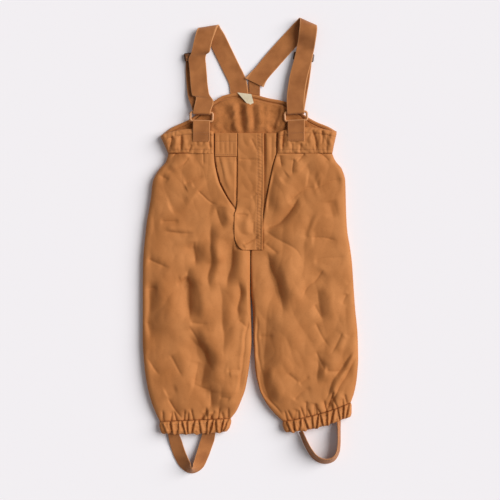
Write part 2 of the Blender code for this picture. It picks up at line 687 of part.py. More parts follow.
def make_cuff(side, collection):
    """Make the front and the back of the elastic casing at one ankle."""
    outer, inner = shell_grids(
        CUFF[side], rows=5, middle=30, wall=CASING_WALL, arch=0.2, ripple=cuff_ripple,
    )
    add_wall(f"cuff_front_{side}", outer, inner, "shell", collection)
    back = [s._replace(crown=0.0, inner_edge=CUFF_BACK_EDGE) for s in CUFF[side]]
    outer, inner = shell_grids(
        back, rows=4, middle=12, wall=CASING_WALL, arch=0.0, outer_edge=CUFF_BACK_EDGE,
    )
    add_wall(f"cuff_back_{side}", inner, outer, "shell", collection)


def bib_top_y(x):
    """Return the height in plan of the bib's top edge."""
    knots = np.array(BIB_TOP)
    return monotone(knots[:, 0], knots[:, 1:], np.ravel(x))[:, 0].reshape(np.shape(x))


def make_bib(collection):
    """Make the bib: rolled up at its sides, flat below, with a turned hem along its top."""
    knots = np.array(BIB_TOP)
    width = knots[-1, 0] - knots[0, 0]
    share = across_distances(width, SIDE_ROLL, SIDE_ROLL, BIB_COLUMNS) / width
    foot = np.column_stack([
        BIB_FOOT[0] + (BIB_FOOT[1] - BIB_FOOT[0]) * share, np.full_like(share, BIB_FOOT_Y)
    ])
    head_x = knots[0, 0] + width * share
    head = np.column_stack([head_x, bib_top_y(head_x)])
    rise = head - foot
    reach = np.hypot(*rise.T)[:, None]
    turned = rolled(share * width, SIDE_ROLL) * rolled((1.0 - share) * width, SIDE_ROLL)
    inward = SEAM_WALL * (1.0 - 2.0 * share)
    upper, lower = [], []
    step_foot = BIB_HEM + BIB_HEM_STEP
    for climb, inset, hem in ((0.0, 0.0, 0), (0.3, 0.0, 0), (0.6, 0.0, 0), (1.0, step_foot, 0),
                              (1.0, BIB_HEM, 1), (1.0, 0.0, 1)):
        plan = foot + rise * (climb - inset / reach)
        edge = BACK_SEAM_Z + (BIB_WALL - BACK_SEAM_Z) * climb
        under = edge * (1.0 - turned)
        over = edge + (BIB_WALL - edge) * turned + BIB_HEM_RISE * hem
        lower.append(np.column_stack([plan, under]))
        upper.append(np.column_stack([plan[:, 0] + inward, plan[:, 1], over]))
    add_wall("back_bib", np.array(upper), np.array(lower), "shell", collection)


def make_lining(collection):
    """Make the bib's lining, in soft upright folds, as far down as it shows."""
    x = np.linspace(*LINING_SPAN, 31)
    climb = np.linspace(0.0, 1.0, 6)[:, None]
    top = bib_top_y(x) - LINING_INSET
    y = LINING_FOOT_Y + (top - LINING_FOOT_Y) * climb
    x = np.broadcast_to(x, y.shape)
    bottom = LINING_Z + np.maximum(0.0, fold_height(LINING_FOLDS, x, y))
    add_slab("bib_lining", np.dstack([x, y]), bottom, LINING_WALL, "lining", collection)


def plan_rows(table, count, columns):
    """Return an even plan grid between the left and right ends of a table's rows."""
    place = [table[0].y - row.y for row in table]
    rows = even_rows(table, place, count)
    share = np.linspace(0.0, 1.0, columns)
    x = rows[:, 1:2] + (rows[:, 2:3] - rows[:, 1:2]) * share
    y = np.broadcast_to(rows[:, 0:1], x.shape)
    return np.dstack([x, y])


def make_fly(collection):
    """Make the flat panel between the two pleats."""
    plan = plan_rows(FLY_ROWS, count=14, columns=8)
    add_slab("fly_panel", plan, np.full(plan.shape[:2], FLY_Z), FLY_WALL, "shell", collection)


def lie_on(grids, plan, base):
    """Return the level of a piece's underside: over base and over what it lies on.

    The piece bridges what is narrower than its own grid, as cloth does.
    """
    level = np.full(plan.shape[:2], base)
    for grid in grids:
        rows, columns = grid.shape[:2]
        tree = BVHTree.FromPolygons(grid.reshape(-1, 3).tolist(), grid_faces(rows, columns, 0))
        for index in np.ndindex(level.shape):
            x, y = plan[index]
            hit = tree.ray_cast(Vector((x, y, HIGH_ABOVE)), Vector((0.0, 0.0, -1.0)))[0]
            if hit is not None:
                level[index] = max(level[index], hit.z + LAY_GAP)
    padded = np.pad(level, 1, mode="edge")
    around = [
        padded[r:r + level.shape[0], c:c + level.shape[1]] for r in range(3) for c in range(3)
    ]
    return np.max(around, axis=0)


def make_flap(legs, collection):
    """Make the fly's flap: flat between the pleats, then up and across both legs."""
    plan = plan_rows(FLAP_ROWS, count=22, columns=8)
    left, right = plan[:, :1, 0], plan[:, -1:, 0]
    corner_x, corner_y = FLAP_CORNER
    foot = plan[-1, 0, 1]
    below = np.clip((foot + corner_y - plan[:, :1, 1]) / corner_y, 0.0, 1.0)
    new_left = left + corner_x * (1.0 - np.sqrt(1.0 - (FLAP_CORNER_END * below) ** 2))
    share = (plan[:, :, 0] - left) / (right - left)
    plan[:, :, 0] = new_left + (right - new_left) * share
    bottom = lie_on(legs, plan, ON_FLY_Z)
    add_slab("fly_flap", plan, bottom, FLAP_WALL, "shell", collection)


def make_facing(collection):
    """Make the flat facing of the waist beside the flap."""
    x = np.linspace(*FACING_SPAN, 6)
    y = np.linspace(*FACING_Y, 5)[:, None]
    plan = np.dstack(np.broadcast_arrays(x, y))
    bottom = np.full(plan.shape[:2], ON_FLY_Z)
    add_slab("waist_facing", plan, bottom, FACING_WALL, "shell", collection)


def make_label(collection):
    """Make the bare tape label, fixed along the bib's hem and standing free below."""
    corners = np.array([(*c, z) for c, z in zip(LABEL_CORNERS, LABEL_HEIGHTS)])
    across = np.linspace(0.0, 1.0, 5)[None, :, None]
    down = np.linspace(0.0, 1.0, 5)[:, None, None]
    top = corners[0] + (corners[1] - corners[0]) * across
    foot = corners[3] + (corners[2] - corners[3]) * across
    lower = top + (foot - top) * down
    lower[:, :, 2] += (0.8 * np.sin(math.pi * down) * across)[:, :, 0]
    upper = lower + np.array([0.0, 0.0, LABEL_WALL])
    add_wall("label", upper, lower, "label", collection)


def rounded_rectangle(width, height, radius, steps=4):
    """Return the points of a rectangle with round corners, centred on the origin."""
    points = []
    for quarter, (sx, sy) in enumerate(((1, 1), (-1, 1), (-1, -1), (1, -1))):
        centre = (sx * (width / 2 - radius), sy * (height / 2 - radius))
        for step in range(steps + 1):
            angle = math.pi / 2 * (quarter + step / steps)
            reach = (radius * math.cos(angle), radius * math.sin(angle))
            points.append((centre[0] + reach[0], centre[1] + reach[1]))
    return points


def add_outline(curve, points):
    """Add a closed outline to a curve."""
    spline = curve.splines.new("POLY")
    spline.points.add(len(points) - 1)
    for point, (x, y) in zip(spline.points, points):
        point.co = (x * MM, y * MM, 0.0, 1.0)
    spline.use_cyclic_u = True


def place(piece, where, z):
    """Put a piece of hardware at its place and heading in plan."""
    x, y, heading = where
    piece.location = (x * MM, y * MM, z * MM)
    piece.rotation_euler = (0.0, 0.0, math.radians(heading))


def make_ring(side, collection):
    """Make the round-barred plastic ring at a brace's lower end."""
    curve = bpy.data.curves.new(f"ring_{side}", "CURVE")
    curve.dimensions = "3D"
    width, height = (size - RING_BAR for size in RING_SIZE)
    add_outline(curve, rounded_rectangle(width, height, RING_CORNER - RING_BAR / 4))
    curve.bevel_depth = RING_BAR / 2 * MM
    curve.bevel_resolution = 2
    place(add_object(f"ring_{side}", curve, "plastic", collection), RING_PLACE[side], RING_Z)


def make_slider(side, collection):
    """Make the flat slider that holds a brace's doubled end: two slots and a middle bar."""
    curve = bpy.data.curves.new(f"slider_{side}", "CURVE")
    curve.dimensions = "2D"
    curve.fill_mode = "BOTH"
    curve.extrude = SLIDER_WALL / 2 * MM
    add_outline(curve, rounded_rectangle(*SLIDER_SIZE, SLIDER_CORNER))
    offset = (SLIDER_MIDDLE_BAR + SLIDER_SLOT[1]) / 2
    for way in (1, -1):
        slot = rounded_rectangle(*SLIDER_SLOT, 0.8, steps=2)
        add_outline(curve, [(x, y + way * offset) for x, y in slot])
    place(add_object(f"slider_{side}", curve, "plastic", collection), SLIDER_PLACE[side], SLIDER_Z)


def even_stations(stations, spacing):
    """Return a smooth run of stations through the given ones, about spacing apart."""
    table = np.array(stations, float)
    steps = np.linalg.norm(np.diff(table[:, :3], axis=0), axis=1)
    place_along = np.concatenate([[0.0], np.cumsum(steps)])
    padded = np.vstack([2 * table[0] - table[1], table, 2 * table[-1] - table[-2]])
    result = []
    for index, step in enumerate(steps):
        parts = max(1, round(step / spacing))
        p0, p1, p2, p3 = padded[index:index + 4]
        before = max(place_along[index] - place_along[index - 1], 1.0) if index else step
        after = steps[index + 1] if index + 1 < len(steps) else step
        leave = ((p2 - p1) / step * before + (p1 - p0) / before * step) / (before + step) * step
        arrive = ((p3 - p2) / after * step + (p2 - p1) / step * after) / (after + step) * step
        for share in np.arange(parts) / parts:
            result.append(
                p1 * (1 + 2 * share) * (1 - share) ** 2 + leave * share * (1 - share) ** 2
                + p2 * share ** 2 * (3 - 2 * share) - arrive * share ** 2 * (1 - share)
            )
    result.append(table[-1])
    return np.array(result)


def add_strap(name, stations, thickness, finish, collection):
    """Sweep a flat strap along its stations as one closed piece with square ends."""
    middle = stations[:, :3]
    heading, tilt = np.radians(stations[:, 3]), np.radians(stations[:, 4])
    width = np.column_stack([
        np.cos(heading) * np.cos(tilt), np.sin(heading) * np.cos(tilt), np.sin(tilt)
    ])
    along = np.gradient(middle, axis=0)
    face = np.cross(width, along)
    face /= np.linalg.norm(face, axis=1)[:, None]
    half = width * stations[:, 5:6] / 2
    out = face * thickness / 2
    corners = np.stack([middle - half - out, middle + half - out,
                        middle + half + out, middle - half + out], axis=1)
    count = len(stations)
    faces = [(0, 1, 2, 3), tuple(4 * (count - 1) + c for c in (3, 2, 1, 0))]
    for row in range(count - 1):
        for corner in range(4):
            here, after = 4 * row + corner, 4 * row + (corner + 1) % 4
            faces.append((here, after, after + 4, here + 4))
    mesh = bpy.data.meshes.new(name)
    mesh.from_pydata((corners.reshape(-1, 3) * MM).tolist(), [], faces)
    orient(mesh)
    return add_object(name, mesh, finish, collection)


def wrap(centre, heading, radius, start, end, width, steps=9):
    """Return stations round a bar at centre, whose length points along heading.

    The angles run in the plane across the bar: 0 is up the garment and 90 is away from it.
    """
    x, y, z = centre
    across = math.radians(heading + 90.0)
    stations = []
    for angle in np.radians(np.linspace(start, end, steps)):
        out = radius * math.cos(angle)
        stations.append(Station(
            x + out * math.cos(across), y + out * math.sin(across), z + radius * math.sin(angle),
            heading, 0.0, width,
        ))
    return stations


def ring_bar(side, way):
    """Return the middle of a ring's upper bar, or of its lower one where way is -1."""
    x, y, heading = RING_PLACE[side]
    offset = way * (RING_SIZE[1] - RING_BAR) / 2
    across = math.radians(heading + 90.0)
    return (x + offset * math.cos(across), y + offset * math.sin(across), RING_Z), heading


def make_brace(side, collection):
    """Make a brace: centre back, over the fold, round its ring, and back up to its slider."""
    bar, heading = ring_bar(side, 1)
    width = WEBBING_WIDTH - 0.4
    radius = (RING_BAR + WEBBING_WALL) / 2 + WRAP_CLEARANCE
    down = list(BRACE_FRONT[side]) + wrap(bar, heading, radius, 90.0, 100.0, width, steps=2)
    turn = wrap(bar, heading, radius, 100.0, 270.0, width, steps=10)
    x, y, slider_heading = SLIDER_PLACE[side]
    slider_radius = (
        math.hypot(SLIDER_MIDDLE_BAR, SLIDER_WALL) / 2 + WRAP_CLEARANCE + WEBBING_WALL / 2
    )
    slider_turn = wrap((x, y, SLIDER_Z), slider_heading, slider_radius, -90.0, 90.0, width, steps=9)
    up = [turn[-1]] + list(BRACE_RETURN[side]) + [slider_turn[0]]
    last = slider_turn[-1]
    along = math.radians(slider_heading - 90.0)
    tail = last._replace(
        x=last.x + SLIDER_TAIL * math.cos(along), y=last.y + SLIDER_TAIL * math.sin(along)
    )
    run = np.vstack([
        even_stations(down, BRACE_SPACING)[:-1], np.array(turn)[:-1],
        even_stations(up, BRACE_SPACING)[:-1],
        np.array(slider_turn), np.array([tail]),
    ])
    add_strap(f"brace_{side}", run, WEBBING_WALL, "webbing", collection)


def top_of(grid, x_range, y_range):
    """Return the highest level of a grid within a rectangle of the plan."""
    x, y, z = grid[:, :, 0], grid[:, :, 1], grid[:, :, 2]
    inside = (x > x_range[0]) & (x < x_range[1]) & (y > y_range[0]) & (y < y_range[1])
    return float(z[inside].max())


def make_tab(side, band, collection):
    """Make the webbing tab that holds a ring to the band, laid on the band's own height."""
    bar, heading = ring_bar(side, -1)
    radius = (RING_BAR + WEBBING_WALL) / 2 + WRAP_CLEARANCE
    foot_y = TAB_FOOT_Y[side]
    reach = TAB_WIDTH / 2 + TAB_MARGIN
    top = top_of(band, (bar[0] - reach, bar[0] + reach), (foot_y - SIDE_ROLL, bar[1]))
    level = top + LAY_GAP + WEBBING_WALL / 2
    turn = wrap(bar, heading, radius, -90.0, -270.0, TAB_WIDTH, steps=9)
    tail = turn[0]._replace(y=turn[0].y - TAB_TAIL)
    last = turn[-1]
    high = bar[1] - TAB_SLOPE[0]
    low = bar[1] - TAB_SLOPE[1]
    front = [
        last,
        Station(bar[0], high, (last.z + level + LAY_GAP) / 2, heading / 2, 0.0, TAB_WIDTH),
        Station(bar[0], low, level, 0.0, 0.0, TAB_WIDTH),
        Station(bar[0], (low + foot_y) / 2, level, 0.0, 0.0, TAB_WIDTH),
        Station(bar[0], foot_y, level, 0.0, 0.0, TAB_WIDTH),
    ]
    run = np.vstack([np.array([tail]), np.array(turn)[:-1], even_stations(front, TAB_SPACING)])
    add_strap(f"tab_{side}", run, WEBBING_WALL, "webbing", collection)


def make_patch(collection):
    """Make the stitched webbing patch at the centre back, under the left brace's end."""
    x = np.linspace(*PATCH_SPAN, 4)
    y = np.linspace(*PATCH_Y, 4)[:, None]
    plan = np.dstack(np.broadcast_arrays(x, y))
    bottom = np.full(plan.shape[:2], PATCH_Z)
    add_slab("brace_patch", plan, bottom, WEBBING_WALL, "webbing", collection)


def make_foot_loop(side, collection):
    """Make the strap that passes under the foot, from one side of its cuff to the other."""
    run = even_stations(FOOT_LOOP[side], LOOP_SPACING)
    tilt = np.radians(run[:, 4])
    lowest = (run[:, 5] * np.sin(tilt) + LOOP_WALL * np.cos(tilt)) / 2
    run[:, 2] = np.maximum(run[:, 2], lowest + LOOP_REST_Z)
    add_strap(f"foot_loop_{side}", run, LOOP_WALL, "webbing", collection)


def main():
    """Build every piece of the garment."""
    clear_scene()
    collection = garment_collection()
    legs = []
    for side in SIDES:
        make_back_leg(side, collection)
        legs.append(make_front_leg(side, collection))
        make_cuff(side, collection)
        make_foot_loop(side, collection)
        band = make_waistband(side, collection)
        make_tab(side, band, collection)
        make_ring(side, collection)
        make_slider(side, collection)
        make_brace(side, collection)
    make_bib(collection)
    make_lining(collection)
    make_fly(collection)
    make_facing(collection)
    make_flap(legs, collection)
    make_patch(collection)
    make_label(collection)


main()
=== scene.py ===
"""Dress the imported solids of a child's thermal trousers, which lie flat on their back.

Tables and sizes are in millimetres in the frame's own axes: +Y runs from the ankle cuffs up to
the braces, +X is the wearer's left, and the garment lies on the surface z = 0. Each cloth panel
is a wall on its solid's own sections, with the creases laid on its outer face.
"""
import logging
import math
from dataclasses import dataclass, field, replace
from enum import Enum

import bpy
import numpy as np
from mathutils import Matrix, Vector, noise
from mathutils.bvhtree import BVHTree


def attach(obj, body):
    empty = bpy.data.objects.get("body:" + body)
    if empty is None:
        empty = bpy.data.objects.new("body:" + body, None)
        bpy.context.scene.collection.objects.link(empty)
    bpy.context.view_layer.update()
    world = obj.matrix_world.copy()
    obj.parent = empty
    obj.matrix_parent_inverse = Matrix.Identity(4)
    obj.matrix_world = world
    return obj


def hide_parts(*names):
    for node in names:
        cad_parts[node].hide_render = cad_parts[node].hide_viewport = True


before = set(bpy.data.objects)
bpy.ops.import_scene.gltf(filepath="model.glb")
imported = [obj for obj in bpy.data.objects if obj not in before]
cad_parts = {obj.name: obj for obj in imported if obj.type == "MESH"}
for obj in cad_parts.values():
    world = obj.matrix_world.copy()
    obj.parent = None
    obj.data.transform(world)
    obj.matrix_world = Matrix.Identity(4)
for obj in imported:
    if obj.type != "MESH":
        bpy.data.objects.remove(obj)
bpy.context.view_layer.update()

LOG = logging.getLogger("thermal_trousers")
MM = 0.001
BODY = "root"
Colour = tuple[float, float, float, float]
Place = tuple[float, float, float]
Socket = bpy.types.NodeSocket
Piece = bpy.types.Object
Array = np.ndarray
Pair = tuple[float, float]

# Walls and gaps.
PAD_WALL = 6.0
SEAM_WALL = 2.5
CASING_WALL = 5.0
BIB_WALL = 4.0
LINING_WALL = 2.5
FLY_WALL = 2.8
FLAP_WALL = 2.3
FACING_WALL = 2.0
LABEL_WALL = 0.8
WEBBING_WALL = 1.6
LOOP_WALL = 1.4
SEAM_GAP = 0.3
LAY_GAP = 0.35
INNER_GAP = 0.45
THINNEST = 1.2          # least wall that a crease leaves
PINCH = 2.0             # half the width of the pinched line along a crisp crease
SWAY_REACH = 34.0       # how far apart creases wander on their own
SWAY_LEVELS = (2.0, 11.0)

# Levels above the surface.
FRONT_SEAM_Z = 7.65
BACK_SEAM_Z = 7.35
CENTRE_BACK_Z = 3.0
CENTRE_BACK_END = -30.0     # where along Y the centre back seam begins to rise to the inner leg
CENTRE_BACK_RISE = 70.0
LINING_Z = BIB_WALL + SEAM_GAP
FLY_Z = 7.2
FLY_TOP = FLY_Z + FLY_WALL
ON_FLY_Z = FLY_TOP + SEAM_GAP

# Rolls at a panel's edges.
SIDE_ROLL = 8.0
PLEAT_ROLL = 5.0
END_ROLL = 4.0
ROLL_STEPS = (0.0, 0.03, 0.1, 0.2, 0.33, 0.5, 0.72, 1.0)

WAIST_Y = 147.0
CROTCH_Y = -70.0
HIGH_ABOVE = 100.0
SHARP_ANGLE = 60.0      # degrees from which an edge is shaded as one


class Side(Enum):
    """A half of the garment, as its wearer would name it."""

    RIGHT = "right"
    LEFT = "left"

    @property
    def sign(self) -> float:
        """Return which way along X this half lies."""
        return 1.0 if self is Side.LEFT else -1.0


class Crest(Enum):
    """How a crease runs up to its own line."""

    SOFT = "soft"           # a rounded swell
    CRISP = "crisp"         # pinched to a line, easing away
    LEANING = "leaning"     # a fold with a long fair side and a steep one that ends in a pinched line


@dataclass(frozen=True)
class Section:
    """A section across a panel: its two ends, its bow, its crown and its inner edge's height."""

    outer_x: float
    outer_y: float
    inner_x: float
    inner_y: float
    bow: float
    crown: float
    inner_edge: float


@dataclass(frozen=True)
class Crease:
    """A ridge, or a trough where its height is negative, along a slightly bent line."""

    start_x: float
    start_y: float
    end_x: float
    end_y: float
    bend: float         # how far the line's middle swings to its left
    left: float         # reach on the line's left
    right: float        # reach on its right, which is the steep side of a leaning fold
    height: float
    crest: Crest


@dataclass(frozen=True)
class Station:
    """A place along a strap: its middle, how its width points, its tilt and its width."""

    x: float
    y: float
    z: float
    heading: float
    tilt: float
    width: float


@dataclass(frozen=True)
class PlanRow:
    """A row of a flat piece: its height in plan and its two ends."""

    y: float
    left: float
    right: float


def table(kind: type, *rows: tuple) -> tuple:
    """Return a table's rows as records, whose fields name its columns.

    Args:
        kind: The records' dataclass.
        rows: Their values, in the order of its fields.

    Returns:
        The records.
    """
    return tuple(kind(*row) for row in rows)


def rows_of(records: tuple) -> Array:
    """Return a table's records as rows of numbers."""
    return np.array([list(vars(record).values()) for record in records])


SOFT, CRISP, LEANING = Crest

FRONT_LEG = {
    Side.RIGHT: table(
        Section,
        (-131, 147, -58.4, 147, 0, 15, 12),
        (-135, 134, -57.6, 134, 0, 15.6, 12),
        (-146, 122, -55.5, 122, 0, 16.2, 12),
        (-156, 102, -50.4, 102, 0, 16.8, 12.3),
        (-159, 77, -37.6, 77, 0, 16.8, 12.3),
        (-162.4, 56, -22.4, 56, 0, 16, 12),
        (-165.6, 38, -3.2, 38, 0, 15.6, 11.4),
        (-168, 16, -0.6, 16, 0, 15.5, 10.9),
        (-171.5, -26, -0.6, -26, 0, 15.8, 9.5),
        (-172, -70, -0.6, -70, 0, 16.4, 8.2),
        (-172, -106, 0.6, -106, 0, 17, 7.8),
        (-172, -150, 1.6, -150, 0, 17.4, 7.65),
        (-169.3, -192, -2.1, -192, 0, 17.4, 7.65),
        (-164, -227, -8, -227, 0, 17, 7.65),
        (-157.6, -250, -16.3, -250, 0, 16, 7.65),
        (-151, -266.5, -22.6, -263.5, 0, 14.6, 7.65),
        (-144.8, -279.8, -31.2, -274.8, 0, 13.2, 7.65),
    ),
    Side.LEFT: table(
        Section,
        (130.4, 147, 42.1, 147, 0, 15, 12),
        (135.2, 136, 38.9, 137, 0, 15.6, 12),
        (145.6, 123, 35.7, 125, 0, 16.2, 12),
        (151.2, 104, 31.7, 105.6, 0, 16.8, 12.3),
        (152, 77, 26.1, 77, 0, 16.8, 12.3),
        (152.8, 50, 21.5, 50, 0, 16, 12),
        (154.4, 24, 16, 24, 0, 15.6, 11.4),
        (158.4, 0, 2.2, 0, 0, 15.5, 10.6),
        (161.6, -24, 0.6, -27, 0, 15.8, 9.5),
        (164.5, -65.6, 1.1, -72, 0, 16.4, 8.2),
        (166.9, -99, 4, -107, 0, 17, 7.8),
        (170.9, -142, 5, -152, 0, 17.4, 7.65),
        (171.8, -179, 7.2, -193.6, 0, 17.4, 7.65),
        (169.6, -211, 14.4, -229, 0, 17, 7.65),
        (165.6, -233, 24.8, -250, 0.5, 16, 7.65),
        (162.6, -242.5, 37.6, -266.4, 2, 14.6, 7.65),
        (160, -249.6, 51.4, -279.4, 4, 13.2, 7.65),
    ),
}

# The creases of each leg's front, from the waist down.
LEG_CREASES = {
    Side.RIGHT: table(
        Crease,
        (-99, 147, -129, 121, 3.7, 6, 7, 2.5, SOFT),
        (-97, 143, -134, 116, 5, 6, 7, -2.4, CRISP),
        (-117, 149, -131, 134, 1, 4, 4, -1.8, CRISP),
        (-72, 148, -76, 128, 0, 4, 5, -1.6, CRISP),
        (-84, 150, -90, 126, -2, 6, 5, -1.4, SOFT),
        (-147, 117, -128, 105, -1, 6, 6, -2.4, CRISP),
        (-107, 98, -70, 114, 1, 9, 5, -2.4, CRISP),
        (-104, 91, -88, 99, 0, 4, 4, 1.4, SOFT),
        (-130, 61, -99, 77, 1, 8, 7, -1.8, SOFT),
        (-83, 88, -50, 63, -3.8, 12, 15, -3.8, CRISP),
        (-39, 68, -28, 32, 0, 6, 17, 3.6, LEANING),
        (-44, 62, -40, 36, 0, 5, 5, -1.6, SOFT),
        (-143, 39, -114, 41, 0, 5, 5, -2, CRISP),
        (-134, 27, -90, 26, 0, 4, 4, 1.4, SOFT),
        (-134, 22, -89, 21, 0, 3, 5, -2.2, CRISP),
        (-166, -19, -129, -37, 1.5, 6, 17, -3.8, CRISP),
        (-60, 9, -55, -30, 0, 8, 32, 5, LEANING),
        (-90, 10, -89, -30, 0, 8, 10, -2.4, CRISP),
        (-47, 38, -50, -76, 0, 15, 15, 4, LEANING),
        (-9, 10, -18, -70, 2, 6, 19, 5, LEANING),
        (-34, 20, -38, -60, 0, 6, 8, -1.6, SOFT),
        (-117, -60, -95, -50, 0, 3, 4, -1.6, CRISP),
        (-112, -53, -97, -45, 0, 3, 3, 1.2, SOFT),
        (-108, -67, -91, -60, 1, 4, 4, -1.4, CRISP),
        (-69, -34, -68, -121, -5, 16, 27, 7, LEANING),
        (-98, -48, -97, -120, 0, 8, 14, -2.6, CRISP),
        (-174, -69, -147, -71, 0, 5, 7, -3, CRISP),
        (-174, -120, -156, -124, 0, 5, 6, -2.4, CRISP),
        (-131, -58, -127, -150, 2, 12, 34, 5, LEANING),
        (-97, -121, -67, -122, 0, 4, 5, -1.8, CRISP),
        (-79, -129, -38, -182, 1.6, 14, 25, 6.5, LEANING),
        (-100, -127, -82, -188, 8, 9, 17, -3.2, CRISP),
        (-82, -182, -94, -222, 2, 12, 12, -2.4, CRISP),
        (-42, -164, -53, -232, 3, 14, 30, 5.5, LEANING),
        (-74, -148, -66, -188, 0, 5, 5, 1.5, SOFT),
        (-96, -218, -60, -229, -2, 9, 13, -3.2, CRISP),
        (-30, -220, -28, -264, 0, 8, 34, 4.4, LEANING),
        (-62, -228, -67, -264, 1, 10, 6, -2.2, CRISP),
        (-29, -52, -23, -188, 1, 8, 20, 3, LEANING),
        (-7, -52, -5, -124, 0, 4, 12, 3.4, LEANING),
        (-19, -54, -20, -120, 0, 5, 5, -1.6, CRISP),
        (-19, -118, -6, -132, 0, 4, 4, -1.8, CRISP),
        (-5, -106, -25, -250, 3, 1.6, 1.6, -1.3, CRISP),
        (-9, -106, -29, -250, 3, 2.2, 2.2, 0.8, SOFT),
        (-131, -172, -108, -210, -1, 8, 10, -2.8, CRISP),
        (-167, -170, -141, -208, -5.5, 10, 6, -2.8, CRISP),
        (-136, -235, -115, -226, 1, 5, 5, -1.6, SOFT),
        (-133, -240, -106, -279, -3, 8, 8, -3.6, CRISP),
        (-37, -198, -15, -196, 0, 4, 4, -1.8, CRISP),
        (-34, -203, -18, -202, 0, 4, 4, 1.3, SOFT),
        (-49, -241, -29, -244, 0, 4, 5, -1.8, CRISP),
        (-80, -278, -70, -261, 0, 4, 4, -2.6, CRISP),
        (-64, -278, -57, -263, 0, 4, 4, -2.2, CRISP),
        (-72, -277, -66, -264, 0, 3, 3, 1.6, SOFT),
        (-112, -34, -106, -172, 2, 18, 18, 1.6, SOFT),
    ),
    Side.LEFT: table(
        Crease,
        (51, 120, 44, 48, 1, 12, 19, 3.6, LEANING),
        (48, 146, 49, 124, 0, 4, 4, -2.4, CRISP),
        (60, 116, 48, 104, 0, 5, 5, -1.6, SOFT),
        (68, 140, 70, 111, 0, 6, 6, -2.2, CRISP),
        (76, 142, 75, 114, 0, 5, 6, 1.6, SOFT),
        (84, 148, 74, 134, 0, 4, 4, -1.8, CRISP),
        (106, 150, 125, 134, 1, 4, 5, -2.2, CRISP),
        (122, 147, 134, 130, 1, 4, 4, -1.6, CRISP),
        (84, 127, 110, 108, 0, 8, 7, -1.8, SOFT),
        (59, 70, 108, 94, 6, 10, 13, -3.2, CRISP),
        (102, 93, 150, 113, -3, 11, 10, -3.2, CRISP),
        (88, 104, 113, 96, -2, 8, 6, -1.8, SOFT),
        (17, 25, 76, 79, -11, 9, 10, -2.8, CRISP),
        (86, 68, 27, 18, 10, 15, 14, 3.4, LEANING),
        (19, 25, 84, -24, 7.6, 10, 11, -2.8, CRISP),
        (22, 4, 42, -16, 1, 6, 7, -2.6, CRISP),
        (40, -8, 70, -99, 5, 17, 21, 6.5, LEANING),
        (22, -8, 44, -92, 2, 8, 11, -2.6, CRISP),
        (61, -112, 51, -210, 0, 12, 34, 4, LEANING),
        (97, 15, 141, 8, -1, 8, 9, -3, CRISP),
        (100, -25, 152, -19, 2, 6, 7, -1.8, CRISP),
        (118, -37, 82, -92, -4, 10, 9, -3.2, CRISP),
        (92, 14, 106, 55, 0, 3, 3, 1.3, SOFT),
        (88, 14, 102, 55, 0, 5, 5, -1.2, SOFT),
        (127, 75, 127, 40, 0, 6, 7, -2, SOFT),
        (124, -60, 133, -118, 1, 8, 20, 3.6, LEANING),
        (102, -94, 114, -117, 0, 5, 6, -2.2, CRISP),
        (100, -121, 130, -160, 0, 15, 8, -2.8, CRISP),
        (149, -137, 127, -173, 1, 6, 6, -2, CRISP),
        (155, -140, 134, -172, 1, 4, 5, 1.4, SOFT),
        (104, -166, 120, -198, -2, 9, 8, -3, CRISP),
        (123, -174, 125, -216, 0, 8, 18, 3.6, LEANING),
        (118, -196, 158, -198, -2, 7, 6, -2.6, CRISP),
        (170, -170, 119, -261, -4.5, 4, 4, 2.6, SOFT),
        (174, -176, 124, -264, -4.5, 4, 4, -2.6, CRISP),
        (163, -168, 113, -256, -4.5, 5, 5, -2, CRISP),
        (59, -203, 78, -219, 0, 4, 5, -1.8, CRISP),
        (76, -219, 96, -205, 0, 4, 5, -1.8, CRISP),
        (67, -248, 98, -223, 2, 7, 6, -2, CRISP),
        (14, -143, 37, -143, 0, 3, 4, -1.4, CRISP),
        (29, -186, 51, -250, 0, 10, 17, 4.4, LEANING),
        (131, -229, 122, -264, 0, 5, 5, -3, CRISP),
        (139, -230, 131, -263, 0, 6, 8, 2.6, LEANING),
        (90, -250, 84, -282, 0, 4, 4, -2.4, CRISP),
        (104, -252, 100, -276, 0, 4, 4, -2, CRISP),
        (72, -262, 66, -284, 0, 4, 4, -2.2, CRISP),
        (167, -44, 151, -59, 0, 4, 4, -1.6, CRISP),
        (168, -60, 153, -77, 0, 4, 4, -1.8, CRISP),
        (152, -74, 146, -95, 0, 4, 4, -1.6, CRISP),
        (8, -106, 14, -215, 1, 1.6, 1.6, -1.3, CRISP),
        (14, -215, 56, -276, -4, 1.6, 1.6, -1.3, CRISP),
        (96, 70, 132, -10, 4, 22, 22, 1.4, SOFT),
    ),
}

